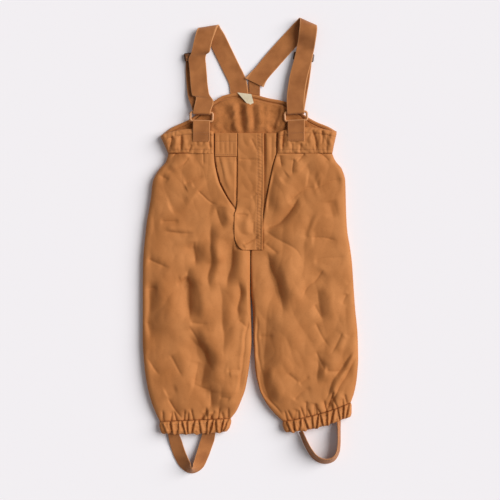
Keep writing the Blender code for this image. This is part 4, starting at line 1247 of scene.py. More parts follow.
def wall_piece(name: str, upper: Array, lower: Array) -> Piece:
    """Make a closed wall between two grids of points, with a UV map in metres of cloth.

    Args:
        name: The piece's name.
        upper: The points of its face, rows by columns by three, in millimetres.
        lower: The points of its other face, the same size.

    Returns:
        The new piece.
    """
    rows, columns = upper.shape[:2]
    count = rows * columns
    index = np.arange(count).reshape(rows, columns)
    top = np.stack([index[:-1, :-1], index[:-1, 1:], index[1:, 1:], index[1:, :-1]], axis=-1)
    top = top.reshape(-1, 4)
    rim = np.concatenate([index[0, :], index[1:, -1], index[-1, -2::-1], index[-2:0:-1, 0]])
    after = np.roll(rim, -1)
    sides = np.stack([after, rim, rim + count, after + count], axis=-1)
    faces = np.concatenate([top, top[:, ::-1] + count, sides])
    row, column = rows // 2, columns // 2
    here = upper[row, column]
    facing = np.cross(upper[row, column + 1] - here, upper[row + 1, column] - here)
    if facing @ (here - lower[row, column]) < 0.0:
        faces = faces[:, ::-1]
    points = np.concatenate([upper.reshape(-1, 3), lower.reshape(-1, 3)]) * MM
    across, along = run_along(upper, 1), run_along(upper, 0)
    across = across - across[:, columns // 2:columns // 2 + 1]
    cloth = np.tile(np.stack([across, along], axis=-1).reshape(-1, 2) * MM, (2, 1))
    return mesh_piece(name, points, faces, cloth)


def mesh_piece(name: str, points: Array, faces: Array | list,
               cloth: Array | None = None) -> Piece:
    """Make a smooth-shaded mesh object from points and faces.

    Args:
        name: The piece's name.
        points: Its vertices in metres.
        faces: Its faces, as vertex numbers.
        cloth: UV coordinates for each vertex, in metres.

    Returns:
        The new piece.
    """
    mesh = bpy.data.meshes.new(name)
    mesh.from_pydata(points.tolist(), [], [list(map(int, face)) for face in faces])
    if cloth is not None:
        loops = np.zeros(len(mesh.loops), int)
        mesh.loops.foreach_get("vertex_index", loops)
        layer = mesh.uv_layers.new(name="cloth")
        layer.data.foreach_set("uv", cloth[loops].astype(np.float32).ravel())
    mesh.shade_smooth()
    mesh.set_sharp_from_angle(angle=math.radians(SHARP_ANGLE))
    piece = bpy.data.objects.new(name, mesh)
    bpy.context.scene.collection.objects.link(piece)
    return piece


def dress(piece: Piece, material: bpy.types.Material,
          nodes: tuple[str, ...] = ()) -> Piece:
    """Give a piece its material, its body and the solids that it stands for.

    Args:
        piece: The piece.
        material: Its material.
        nodes: The solids that it replaces.

    Returns:
        The same piece.
    """
    piece.data.materials.append(material)
    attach(piece, BODY)
    if nodes:
        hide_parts(*nodes)
    LOG.info("%s: %d faces, stands for %s", piece.name, len(piece.data.polygons), nodes)
    return piece


def tree_of(pieces: list[Piece]) -> BVHTree:
    """Return one search tree, in millimetres, of several pieces' faces.

    Args:
        pieces: The pieces.

    Returns:
        The tree.
    """
    points, faces = [], []
    for piece in pieces:
        start = len(points)
        points += [tuple(v.co / MM) for v in piece.data.vertices]
        faces += [[start + i for i in polygon.vertices] for polygon in piece.data.polygons]
    return BVHTree.FromPolygons(points, faces)


def level_under(tree: BVHTree, plan: Array, base: float, passes: int) -> Array:
    """Return the level at which a flat piece lies over what is below it.

    Args:
        tree: The faces below it.
        plan: The piece's plan, rows by columns by two.
        base: The lowest that it lies.
        passes: How often the level is relaxed.

    Returns:
        A level for each point, which bridges what is narrow as cloth does.
    """
    level = np.full(plan.shape[:2], base)
    down = Vector((0.0, 0.0, -1.0))
    for index in np.ndindex(level.shape):
        hit = tree.ray_cast(Vector((*plan[index], HIGH_ABOVE)), down)[0]
        if hit is not None:
            level[index] = max(base, hit.z + LAY_GAP)
    for _ in range(3):
        wide = np.pad(level, 1, mode="edge")
        rows, columns = level.shape
        level = np.max([wide[r:r + rows, c:c + columns] for r in range(3) for c in range(3)], axis=0)
    return blurred(level, passes)


def pleat_edge(side: Side, y: Array) -> Array:
    """Return where along X the inner edge of a front leg lies, at heights in plan."""
    rows = np.array([(s.inner_y, s.inner_x) for s in FRONT_LEG[side]])[::-1]
    return np.interp(y, rows[:, 0], rows[:, 1])


def seam_pull(side: Side, x: Array) -> Array:
    """Return how deeply the waist seam is drawn in, in millimetres.

    Args:
        side: Which half.
        x: Places along the seam.

    Returns:
        A depth for each place.
    """
    if side is Side.RIGHT:
        return 0.1 + 2.9 * ease((-92.0 - x) / 18.0)
    return 1.4 + 0.6 * np.sin(x / 9.0)


def slab_piece(name: str, plan: Array, bottom: Array, wall: float, rim: float,
               raised: Array | float = 0.0) -> Piece:
    """Make a thin piece over a plan grid, with its upper edge rounded off.

    Args:
        name: The piece's name.
        plan: Its plan, rows by columns by two.
        bottom: The level of its underside.
        wall: Its thickness.
        rim: How far in from its edge it is rounded.
        raised: What its creases add to its upper face.

    Returns:
        The new piece.
    """
    lower = np.dstack([plan, bottom])
    across, along = run_along(lower, 1), run_along(lower, 0)
    inset = np.minimum(
        np.minimum(across, across[:, -1:] - across), np.minimum(along, along[-1:] - along)
    )
    round_off = 0.35 + 0.65 * rolled(inset, rim)
    thickness = np.maximum(wall * round_off + raised * round_off, 0.3 * wall)
    upper = np.dstack([plan, bottom + thickness])
    return wall_piece(name, upper, lower)


def straight_plan(x_span: Pair, y_span: Pair, rim: float,
                  spacing: float) -> Array:
    """Return the plan grid of a rectangle, with close rows and columns round its edge.

    Args:
        x_span: Its two ends across.
        y_span: Its foot and its top.
        rim: How far in the rows and columns lie close.
        spacing: Distance between the others.

    Returns:
        Plan points, rows by columns by two.
    """
    x = x_span[0] + places_between(x_span[1] - x_span[0], rim, rim, spacing)
    y = y_span[1] - places_between(y_span[1] - y_span[0], rim, rim, spacing)
    return np.dstack(np.meshgrid(x, y))


def table_plan(ends: tuple[PlanRow, ...], rim: float, spacing: float) -> Array:
    """Return the plan grid between the two ends of a table's rows.

    Args:
        ends: The rows, from the top down.
        rim: How far in from its edge the rows and columns lie close.
        spacing: Distance between the others.

    Returns:
        Plan points, rows by columns by two.
    """
    rows = rows_of(ends)
    places = rows[0, 0] - rows[:, 0]
    read = monotone(places, rows, places_between(places[-1], rim, rim, spacing))
    width = float(np.max(read[:, 2] - read[:, 1]))
    share = places_between(width, rim, rim, spacing) / width
    x = read[:, 1:2] + (read[:, 2:3] - read[:, 1:2]) * share
    return np.dstack([x, np.broadcast_to(read[:, :1], x.shape)])


class Panel:
    """A padded panel between sections, which rolls over at its sides and its ends."""

    def __init__(self, sections: tuple[Section, ...], spacing: float, outer_edge: float,
                 inner_roll: float = SIDE_ROLL, arch: float = 0.3,
                 end_depths: Pair = (0.0, 0.0), lip: float = 0.0) -> None:
        """Read the sections closely enough to carry creases.

        Args:
            sections: The panel's sections, from its top to its foot.
            spacing: Distance between its points.
            outer_edge: Height of its outer edge.
            inner_roll: How far in its inner edge has rolled over.
            arch: The share of its height that it gains past its rolls.
            end_depths: How far its top and its foot are drawn down to their seams.
            lip: The share of its height that its inner edge keeps above the crotch.
        """
        rows = rows_of(sections)
        outer = np.hypot(*np.diff(rows[:, 0:2], axis=0).T)
        inner = np.hypot(*np.diff(rows[:, 2:4], axis=0).T)
        knots = np.concatenate([[0.0], np.cumsum((outer + inner) / 2.0)])
        self.down = places_between(knots[-1], END_ROLL, END_ROLL, spacing)[:, None]
        table = monotone(knots, rows, self.down[:, 0])
        start, run = table[:, 0:2], table[:, 2:4] - table[:, 0:2]
        length = np.hypot(run[:, 0], run[:, 1])
        count = max(4, round((length.max() - SIDE_ROLL - inner_roll) / spacing))
        self.distance = np.array([
            places_between(one, SIDE_ROLL, inner_roll, spacing, count) for one in length
        ])
        self.length = length[:, None]
        self.share = self.distance / self.length
        way = run / self.length
        side = np.stack([way[:, 1], -way[:, 0]], axis=1)
        side = np.where(side[:, 1:2] > 0.0, -side, side)
        bow = table[:, 4:5] * 4.0 * self.share * (1.0 - self.share)
        self.plan = (start[:, None, :] + way[:, None, :] * self.distance[:, :, None]
                     + side[:, None, :] * bow[:, :, None])
        self.start, self.way, self.side, self.bow = start, way, side, table[:, 4:5]
        self.crown = table[:, 5:6]
        self.edge = outer_edge + (table[:, 6:7] - outer_edge) * self.share
        self.outer_edge = outer_edge
        kept = lip * ease((table[:, 3:4] - CROTCH_Y) / 60.0)
        self.turned = (rolled(self.distance, SIDE_ROLL)
                       * (kept + (1.0 - kept) * rolled(self.length - self.distance, inner_roll)))
        self.rise = 1.0 - arch * np.abs(2.0 * self.share - 1.0) ** 3
        self.up = self.down[-1:] - self.down
        self.drawn = (end_depths[0] * (1.0 - rolled(self.down, END_ROLL))
                      + end_depths[1] * (1.0 - rolled(self.up, END_ROLL)))

    def face(self, relief: Array | float = 0.0) -> Array:
        """Return the outer face's points.

        Args:
            relief: The height that its creases add.

        Returns:
            Points, rows by columns by three.
        """
        height = self.edge + (self.crown - self.edge) * self.turned * self.rise
        return np.dstack([self.plan, height + relief - self.drawn * np.sign(self.crown)])

    def inside(self, wall: float, face: Array, floor: Array | float = 0.0) -> Array:
        """Return the inner face's points, a wall below the outer ones and in from its seams.

        Args:
            wall: The panel's thickness.
            face: Its outer face.
            floor: The lowest that the inner face may lie, or the highest on a back.

        Returns:
            Points, rows by columns by three.
        """
        place = SEAM_WALL + (self.length - 2.0 * SEAM_WALL) * self.share
        bow = self.bow * 4.0 * self.share * (1.0 - self.share)
        plan = (self.start[:, None, :] + self.way[:, None, :] * place[:, :, None]
                + self.side[:, None, :] * bow[:, :, None])
        above = np.where(self.crown > self.outer_edge, 1.0, -1.0)
        core = self.crown - above * wall
        height = self.edge + (core - self.edge) * self.turned * self.rise
        if floor is not None and above[0, 0] > 0.0:
            height = np.maximum(height, np.minimum(floor, self.edge))
            height = np.minimum(height, face[:, :, 2] - THINNEST)
        return np.dstack([plan, height])

    def line(self, down: float, start: float = 0.0, end: float = 1.0) -> Array:
        """Return plan points across the panel at a distance down it.

        Args:
            down: Distance from its top, or from its foot where it is negative.
            start: The share of its width where the line starts.
            end: The share where it ends.

        Returns:
            Plan points.
        """
        at = down if down >= 0.0 else self.down[-1, 0] + down
        row = int(np.argmin(np.abs(self.down[:, 0] - at)))
        share = self.share[row]
        keep = (share >= start) & (share <= end)
        return self.plan[row][keep]


# ---------------------------------------------------------------- sewing


@dataclass
class Sewing:
    """Stitches along lines of the cloth, joined into one piece."""

    name: str
    surfaces: list[Piece]
    pitch: float = 2.8
    length: float = 2.1
    width: float = 0.6
    points: list[Array] = field(default_factory=list)
    faces: list[list[int]] = field(default_factory=list)

    def __post_init__(self) -> None:
        """Model one stitch and get the cloth's faces ready."""
        self.tree = tree_of(self.surfaces)
        bpy.ops.object.select_all(action="DESELECT")
        bpy.ops.mesh.primitive_uv_sphere_add(segments=6, ring_count=4, radius=1.0)
        stitch = bpy.context.object
        bpy.ops.object.mode_set(mode="EDIT")
        bpy.ops.mesh.select_all(action="SELECT")
        half = (self.length / 2.0, self.width / 2.0, self.width / 2.0)
        bpy.ops.transform.rotate(value=math.pi / 2.0, orient_axis="Y", center_override=(0, 0, 0))
        bpy.ops.transform.resize(value=half, center_override=(0, 0, 0))
        bpy.ops.object.mode_set(mode="OBJECT")
        self.shape = np.array([v.co[:] for v in stitch.data.vertices])
        self.shape_faces = [list(p.vertices) for p in stitch.data.polygons]
        bpy.data.objects.remove(stitch)

    def drop(self, x: float, y: float) -> tuple[Array, Array] | None:
        """Return the point of the cloth under a place, and its normal, or None off the cloth.

        Args:
            x: The place across.
            y: The place along.

        Returns:
            The point and the normal.
        """
        hit, normal, _, _ = self.tree.ray_cast(Vector((x, y, HIGH_ABOVE)), Vector((0, 0, -1)))
        if hit is None:
            return None
        return np.array(hit), np.array(normal if normal.z > 0.0 else -normal)

    def run(self, line: Array | list[Pair]) -> None:
        """Sew along a line of plan points.

        Args:
            line: The points, in order.
        """
        line = np.asarray(line, float)
        steps = np.concatenate([[0.0], np.cumsum(np.hypot(*np.diff(line, axis=0).T))])
        count = max(1, int(steps[-1] / self.pitch))
        at = (np.arange(count) + 0.5) * steps[-1] / count
        ahead = [np.interp(at + self.length / 2, steps, line[:, i]) for i in range(2)]
        behind = [np.interp(at - self.length / 2, steps, line[:, i]) for i in range(2)]
        for x0, y0, x1, y1 in zip(*behind, *ahead):
            self.stitch(self.drop(x0, y0), self.drop(x1, y1))

    def stitch(self, near: tuple | None, far: tuple | None) -> None:
        """Put a stitch between two dropped places.

        Args:
            near: A point of the cloth and its normal.
            far: The next one.
        """
        if near is None or far is None:
            return
        way = far[0] - near[0]
        span = np.linalg.norm(way)
        if span < 0.5 * self.length or span > 1.6 * self.length:
            return
        way /= span
        up = near[1] + far[1]
        up -= way * (up @ way)
        up /= np.linalg.norm(up)
        frame_axes = np.array([way, np.cross(up, way), up])
        middle = (near[0] + far[0]) / 2.0 + up * self.width * 0.12
        start = sum(len(p) for p in self.points)
        self.points.append(middle + self.shape @ frame_axes)
        self.faces += [[start + i for i in face] for face in self.shape_faces]

    def join(self, material: bpy.types.Material) -> None:
        """Join the stitches into one piece of that material."""
        dress(mesh_piece(self.name, np.concatenate(self.points) * MM, self.faces), material)


# ---------------------------------------------------------------- the trousers


@dataclass
class Leg:
    """One leg: a padded front on a padded back, with a gathered casing at the ankle."""

    side: Side
    wardrobe: Wardrobe
    spacing: float = 1.5
    back_spacing: float = 5.0
    fade: float = 15.0              # creases die away over this distance from the outer side
    inner_fade: float = 5.0
    depth: float = 1.8              # how strongly the creases stand out
    spread: float = 1.4             # and how wide they are
    short_share: float = 0.62       # the short creases stand out less than the leaning folds
    sway: float = 3.0
    lowest: float = 8.8             # level below which no crease goes
    puff: float = 0.7
    puff_size: float = 42.0
    crinkle: float = 0.2
    crinkle_size: float = 17.0
    sink: float = 3.0               # how far the flap presses the leg down
    cuff_spacing: float = 1.2
    foot_spacing: float = 2.0       # of the points on the casing's back
    leg_line: float = 3.6           # how far below its top the casing is sewn to the leg
    casing_line: float = 5.0        # and how far above its foot it is sewn again
    gather: float = 3.6
    gather_ends: Pair = (0.3, 0.6)       # shares by which its line runs on past the casing
    steep: float = 2.2              # reach of the steep side of a cuff's gather
    front_cut: Pair = (0.19, 0.45)
    front_area: float = 0.074
    back_cut: Pair = (0.19, 0.45)
    back_area: float = 0.078
    cuff_cut: Pair = (0.15, 0.024)

    def fly_floor(self, plan: Array) -> Array:
        """Return the lowest level of the front's inner face: over the fly, or over the back.

        Args:
            plan: The front's plan points.

        Returns:
            A level for each point.
        """
        x, y = plan[:, :, 0], plan[:, :, 1]
        rows = rows_of(FLY_ROWS)[::-1]
        left = np.interp(y, rows[:, 0], rows[:, 1]) - FLY_MARGIN
        right = np.interp(y, rows[:, 0], rows[:, 2]) + FLY_MARGIN
        over_fly = (x > left) & (x < right) & (y > rows[0, 0] - FLY_MARGIN)
        return np.where(over_fly, FLY_TOP, PAD_WALL) + INNER_GAP

    def gathers(self, panel: Panel) -> tuple[Crease, ...]:
        """Return the small creases that the elastic draws up from the hem into the leg.

        Args:
            panel: The leg's front.

        Returns:
            A crease for each gather of the casing.
        """
        creases = []
        way = panel.side[-1]
        for number, place in enumerate(CUFF_VALLEYS[self.side]):
            foot = np.array([np.interp(place, panel.share[-1], panel.plan[-1, :, i]) for i in (0, 1)])
            length = 9.0 + 13.0 * abs(math.sin(1.7 * number + self.side.sign))
            head = foot - way * length + (5.0 * math.sin(2.3 * number), 0.0)
            creases.append(Crease(*(foot + 4.0 * way), *head, 0.0, 4.6, 2.6, -2.6, CRISP))
        return tuple(creases)

    def pressed(self, plan: Array) -> Array:
        """Return how far the fly's flap presses the leg down.

        Args:
            plan: The front's plan points.

        Returns:
            A depth for each point.
        """
        x, y = plan[:, :, 0], plan[:, :, 1]
        across = ease((x - PRESSED_X[0]) / PRESSED_EDGE) * ease((PRESSED_X[1] - x) / PRESSED_EDGE)
        along = ease((y - PRESSED_Y[0]) / PRESSED_EDGE) * ease((PRESSED_Y[1] - y) / PRESSED_TOP_EDGE)
        return self.sink * across * along

    def front(self) -> Piece:
        """Make the front of the leg, with its creases.

        Returns:
            The front.
        """
        top = replace(FRONT_LEG[self.side][0], outer_y=WAIST_Y + SEAM_GAP, inner_y=WAIST_Y + SEAM_GAP)
        panel = Panel((top, *FRONT_LEG[self.side][1:]), self.spacing, FRONT_SEAM_Z, PLEAT_ROLL,
                      arch=0.45, end_depths=(0.0, 2.2), lip=0.5)
        plan = panel.plan
        fade = ease(panel.distance / self.fade) * ease((panel.length - panel.distance) / self.inner_fade)
        seed = 3.0 + self.side.sign
        small = (self.puff * crumpled(plan, self.puff_size, seed)
                 + self.crinkle * crumpled(plan, self.crinkle_size, seed + 9.0))
        shares = {SOFT: self.short_share, CRISP: self.short_share, LEANING: 1.0}
        creases = tuple(replace(c, height=shares[c.crest] * c.height) for c in LEG_CREASES[self.side])
        folds = creased(creases, swayed(plan, self.sway), self.spread)
        relief = (self.depth * folds + small) * fade
        pulled = seam_pull(self.side, plan[:, :, 0]) * (1.0 - rolled(panel.down, END_ROLL))
        relief = relief - pulled - self.pressed(plan) + creased(self.gathers(panel), plan) * panel.turned
        relief = np.maximum(relief, np.minimum(0.0, self.lowest - panel.face()[:, :, 2]))
        face = panel.face(relief)
        inside = panel.inside(PAD_WALL, face, self.fly_floor(plan))
        name = f"leg_front_{self.side.value}"
        piece = wall_piece(name, face, inside)
        dress(piece, self.wardrobe.shell, (f"front_leg_{self.side.value}",))
        return piece

    def back(self) -> None:
        """Make the back of the leg, flat where it rests."""
        sections = []
        for section in FRONT_LEG[self.side]:
            above = section.inner_y > CROTCH_Y - SIDE_ROLL
            inner_x = self.side.sign * SEAM_GAP if above else section.inner_x
            closing = float(ease((CENTRE_BACK_END - section.inner_y) / CENTRE_BACK_RISE))
            inner_edge = CENTRE_BACK_Z + (BACK_SEAM_Z - CENTRE_BACK_Z) * closing
            sections.append(replace(section, inner_x=inner_x, crown=0.0, inner_edge=inner_edge))
        panel = Panel(tuple(sections), self.back_spacing, BACK_SEAM_Z, SIDE_ROLL, 0.0)
        face = panel.face()
        piece = wall_piece(f"leg_back_{self.side.value}", face, panel.inside(PAD_WALL, face))
        dress(piece, self.wardrobe.shell, (f"back_leg_{self.side.value}",))

    def ripple(self, panel: Panel) -> Array:
        """Return the height of the cuff's gathers: uneven puffs between pinched, slanting lines.

        Args:
            panel: The casing's front.

        Returns:
            A height for each of its points.
        """
        creases = []
        for number, place in enumerate(CUFF_VALLEYS[self.side]):
            slant = 0.008 + 0.024 * math.sin(2.1 * number + 1.0)
            head, foot = (
                np.array([np.interp(share, panel.share[row], panel.plan[row, :, i]) for i in (0, 1)])
                for row, share in ((0, place - slant), (-1, place + slant))
            )
            run = foot - head
            head, foot = head - self.gather_ends[0] * run, foot + self.gather_ends[1] * run
            height = self.gather * (0.6 + 0.4 * abs(math.sin(1.3 * number + 0.5)))
            bend = 0.8 * math.sin(number)
            creases.append(Crease(*head, *foot, bend, 2.2, 3.0, -0.4 * height, CRISP))
            creases.append(Crease(head[0] + self.steep, head[1], foot[0] + self.steep, foot[1], bend,
                                  1.6, self.steep, height, LEANING))
        return creased(tuple(creases), panel.plan) + 0.5 * crumpled(panel.plan, 7.0, 41.0) + 1.4

    def cuff(self) -> Piece:
        """Make the front and the back of the gathered casing at the ankle.

        Returns:
            The front.
        """
        pieces = []
        front = Panel(CUFF[self.side], self.cuff_spacing, FRONT_SEAM_Z, SIDE_ROLL, 0.2, (2.2, 2.0))
        wave = sum(height * np.sin(front.share * turns + start) for height, turns, start in CUFF_WAVES)
        front.plan = front.plan + front.side[:, None, :] * (wave * ease(1.0 - front.up / 9.0))[:, :, None]
        face = front.face(self.ripple(front) * front.turned)
        piece = wall_piece(f"ankle_front_{self.side.value}", face, front.inside(CASING_WALL, face))
        pieces.append(dress(piece, self.wardrobe.shell, (f"cuff_front_{self.side.value}",)))
        sections = tuple(replace(s, crown=0.0, inner_edge=BACK_SEAM_Z) for s in CUFF[self.side])
        back = Panel(sections, self.foot_spacing, BACK_SEAM_Z, SIDE_ROLL, 0.0)
        face = back.face()
        piece = wall_piece(f"ankle_back_{self.side.value}", face, back.inside(CASING_WALL, face))
        pieces.append(dress(piece, self.wardrobe.shell, (f"cuff_back_{self.side.value}",)))
        return pieces[0]

    def seams(self, front: Piece, cuff: Piece) -> Sewing:
        """Sew the hem of the leg and the casing's lower line.

        Args:
            front: The leg's front.
            cuff: The casing's front.

        Returns:
            The stitches, not yet joined.
        """
        sewing = Sewing(f"leg_stitching_{self.side.value}", [front, cuff])
        casing = Panel(CUFF[self.side], self.cuff_spacing, FRONT_SEAM_Z)
        sewing.run(casing.line(self.leg_line, 0.03, 0.97))
        sewing.run(casing.line(-self.casing_line, 0.03, 0.97))
        return sewing


@dataclass
class Waistband:
    """The gathered elastic band at one side of the fly."""

    side: Side
    wardrobe: Wardrobe
    spacing: float = 1.1
    hem: float = 7.5                # depth of the turned top edge
    hem_rise: float = 0.7
    foot_line: float = 4.6          # height of the sewn line above the waist seam
    crinkle: float = 0.55
    crinkle_size: float = 9.0
    cut: Pair = (0.13, 0.036)

    def build(self) -> Piece:
        """Make the band with its gathers and its turned top edge.

        Returns:
            The band.
        """
        self.panel = Panel(WAISTBAND[self.side], self.spacing, FRONT_SEAM_Z, PLEAT_ROLL, 0.1, (1.6, 0.0))
        panel = self.panel
        small = self.crinkle * crumpled(panel.plan, self.crinkle_size, 21.0 + self.side.sign)
        hem = self.hem_rise * ease((self.hem - panel.down) / 1.2) - 0.6 * groove(panel.down - self.hem, 1.1)
        foot = -0.5 * groove(panel.up - self.foot_line, 1.1)
        relief = creased(BAND_CREASES[self.side], panel.plan) + small + hem + foot
        pulled = seam_pull(self.side, panel.plan[:, :, 0]) * (1.0 - rolled(panel.up, END_ROLL))
        face = panel.face((relief - pulled) * panel.turned)
        piece = wall_piece(f"band_{self.side.value}", face, panel.inside(CASING_WALL, face))
        dress(piece, self.wardrobe.shell, (f"waistband_{self.side.value}",))
        return piece

    def sew(self, sewing: Sewing) -> None:
        """Sew the line under the turned edge and the one above the waist seam."""
        sewing.run(self.panel.line(self.hem, 0.03, 0.99))
        sewing.run(self.panel.line(-self.foot_line, 0.03, 0.99))


@dataclass
class Bib:
    """The raised back: its shell with a turned hem, and the brushed lining below the hem."""

    wardrobe: Wardrobe
    spacing: float = 2.2
    rows: int = 24                  # of points below the shell's hem
    lining_spacing: float = 1.8
    lining_rows: int = 44
    cut: Pair = (0.29, 0.10)
    area: float = 0.0215
    lining_cut: Pair = (0.26, 0.075)
    lining_area: float = 0.0125
    fold_depth: float = 2.2         # how strongly the lining's folds stand out

    def top(self, x: Array) -> Array:
        """Return the height in plan of the bib's top edge."""
        knots = np.array(BIB_TOP)
        return monotone(knots[:, 0], knots[:, 1:], np.ravel(x))[:, 0].reshape(np.shape(x))

    def shell(self) -> Piece:
        """Make the shell: flat below, rolled up at its sides, with its hem turned over.

        Returns:
            The shell.
        """
        first, last = BIB_TOP[0][0], BIB_TOP[-1][0]
        width = last - first
        distance = places_between(width, SIDE_ROLL, SIDE_ROLL, self.spacing)
        share = distance / width
        foot_y = WAIST_Y + SEAM_GAP
        foot = np.stack([BIB_FOOT[0] + (BIB_FOOT[1] - BIB_FOOT[0]) * share,
                         np.full_like(share, foot_y)], axis=-1)
        head_x = first + width * share
        head = np.stack([head_x, self.top(head_x)], axis=-1)
        reach = np.hypot(*(head - foot).T)
        near_top = np.array(BIB_HEM_ROWS)
        rest = np.linspace(0.0, 1.0, self.rows)[1:]
        below = near_top[-1] + (reach - near_top[-1]) * rest[:, None]
        from_top = np.vstack([np.broadcast_to(near_top[:, None], (len(near_top), len(share))), below])
        climb = 1.0 - from_top / reach
        plan = foot + (head - foot) * climb[:, :, None]
        turned = rolled(distance, SIDE_ROLL) * rolled(width - distance, SIDE_ROLL)
        edge = BACK_SEAM_Z + (BIB_WALL - BACK_SEAM_Z) * climb
        hem = BIB_HEM_RISE * ease((BIB_HEM + 0.6 - from_top) / 0.9) * (0.25 + 0.75 * rolled(from_top, 2.2))
        stitch = -0.5 * groove(from_top - BIB_HEM + BIB_LINE, 0.7)
        upper_z = edge + (BIB_WALL - edge) * turned + (hem + stitch) * (0.4 + 0.6 * turned)
        inward = SEAM_WALL * (1.0 - 2.0 * share)
        upper = np.dstack([plan[:, :, 0] + inward, plan[:, :, 1], upper_z])
        lower = np.dstack([plan, edge * (1.0 - turned)])
        self.hem_line = plan[np.argmin(np.abs(near_top - BIB_HEM + BIB_LINE))][6:-6]
        piece = wall_piece("bib_shell", upper, lower)
        dress(piece, self.wardrobe.shell, ("back_bib",))
        return piece

    def lining(self) -> None:
        """Make the lining, in soft upright folds."""
        x = LINING_SPAN[0] + places_between(LINING_SPAN[1] - LINING_SPAN[0], 2.0, 2.0, self.lining_spacing)
        climb = 1.0 - np.linspace(0.0, 1.0, self.lining_rows)[:, None]
        y = LINING_FOOT_Y + (self.top(x) - LINING_INSET - LINING_FOOT_Y) * climb
        plan = np.dstack([np.broadcast_to(x, y.shape), y])
        folds = self.fold_depth * blurred(creased(LINING_CREASES, plan))
        bottom = LINING_Z + np.maximum(0.0, folds)
        raised = np.minimum(folds, 0.0) + crumpled(plan, 15.0, 31.0)
        piece = slab_piece("bib_lining_cloth", plan, bottom, LINING_WALL, 1.5, raised)
        dress(piece, self.wardrobe.lining, ("bib_lining",))


@dataclass
class Fly:
    """The flat centre front: a panel between the pleats, a facing, and the flap over them."""

    wardrobe: Wardrobe
    spacing: float = 1.2
    rim: float = 1.4
    swell_height: float = 3.6
    crinkle: float = 0.45
    crinkle_size: float = 16.0
    pucker: float = 0.35            # small waves between the flap's two sewn lines
    pucker_reach: float = 3.2
    relaxing: int = 24              # how often the flap's level over the legs is relaxed
    stitch_lines: Pair = (9.6, 3.4)      # in from the flap's right edge
    panel_cut: Pair = (0.12, 0.19)
    panel_area: float = 0.0150
    flap_cut: Pair = (0.05, 0.19)
    facing_cut: Pair = (0.037, 0.039)

    def swell(self, plan: Array) -> Array:
        """Return how far the panel swells up between a pleat and the flap.

        Args:
            plan: The panel's plan points.

        Returns:
            A height for each point.
        """
        x, y = plan[:, :, 0], plan[:, :, 1]
        rows = rows_of(FLAP_ROWS)[::-1]
        flap_left, flap_right = (np.interp(y, rows[:, 0], rows[:, i]) for i in (1, 2))
        total = np.zeros_like(x)
        for from_pleat, from_flap in ((x - pleat_edge(Side.RIGHT, y), flap_left - x),
                                      (pleat_edge(Side.LEFT, y) - x, x - flap_right)):
            height = np.clip(0.2 * (from_pleat + from_flap), 0.0, self.swell_height)
            total += height * ease((from_pleat - 0.7) / 1.8) * ease((from_flap + 1.0) / 6.0)
        near_facing = (x < 0.0) & (y > FACING_Y[0] - 8.0)
        total = np.where(near_facing, np.minimum(total, self.swell_height - 1.0), total)
        return np.where((x < 0.0) & (y > FACING_Y[0] - 0.3), 0.0, total)

    def panel(self) -> None:
        """Make the panel between the two pleats."""
        plan = table_plan(FLY_ROWS, self.rim, self.spacing)
        raised = creased(FLY_CREASES, plan) + self.swell(plan)
        piece = slab_piece("fly_cloth", plan, np.full(plan.shape[:2], FLY_Z), FLY_WALL - 0.6,
                           self.rim, raised)
        dress(piece, self.wardrobe.shell, ("fly_panel",))

    def facing(self) -> Piece:
        """Make the waist facing beside the flap.

        Returns:
            The facing.
        """
        plan = straight_plan(FACING_SPAN, FACING_Y, self.rim, self.spacing)
        raised = creased(FACING_CREASES, plan) - 0.5 * groove(plan[:, :, 1] - FACING_LINES[0], 1.0)
        piece = slab_piece("facing_cloth", plan, np.full(plan.shape[:2], ON_FLY_Z), FACING_WALL,
                           self.rim, raised)
        dress(piece, self.wardrobe.shell, ("waist_facing",))
        return piece

    def flap(self, below: list[Piece]) -> Piece:
        """Make the flap: flat between the pleats, then up and over both legs.

        Args:
            below: The fronts that it lies on.

        Returns:
            The flap.
        """
        plan = table_plan(FLAP_ROWS, self.rim, self.spacing)
        left, right = plan[:, :1, 0].copy(), plan[:, -1:, 0].copy()
        corner_x, corner_y = FLAP_CORNER
        foot = plan[-1, 0, 1]
        low = np.clip((foot + corner_y - plan[:, :1, 1]) / corner_y, 0.0, 1.0)
        new_left = left + corner_x * (1.0 - np.sqrt(1.0 - (FLAP_CORNER_END * low) ** 2))
        share = (plan[:, :, 0] - left) / (right - left)
        plan[:, :, 0] = new_left + (right - new_left) * share
        self.lines = [np.column_stack([right[:, 0] - inset, plan[:, 0, 1]]) for inset in self.stitch_lines]
        raised = 1.6 * creased(FLAP_CREASES, plan, 1.3)
        raised = raised + self.crinkle * crumpled(plan, self.crinkle_size, 51.0)
        for inset in self.stitch_lines:
            raised = raised - 0.4 * groove(right - inset - plan[:, :, 0], 1.1)
        between_lines = groove(right - sum(self.stitch_lines) / 2.0 - plan[:, :, 0], self.pucker_reach)
        raised = raised + self.pucker * np.sin(plan[:, :, 1] * 1.15 + 0.4 * plan[:, :, 0]) * between_lines
        bottom = level_under(tree_of(below), plan, ON_FLY_Z, self.relaxing)
        piece = slab_piece("flap_cloth", plan, bottom, FLAP_WALL, self.rim, raised)
        dress(piece, self.wardrobe.shell, ("fly_flap",))
        return piece

    def sew(self, sewing: Sewing) -> None:
        """Sew the flap's double line and the facing's lines.

        Args:
            sewing: Takes the stitches.
        """
        for line in self.lines:
            sewing.run(line[3:-3])
        for y in FACING_LINES:
            sewing.run([(FACING_SPAN[0] + 1.5, y), (FACING_SPAN[1] - 1.5, y)])


# ---------------------------------------------------------------- straps and hardware


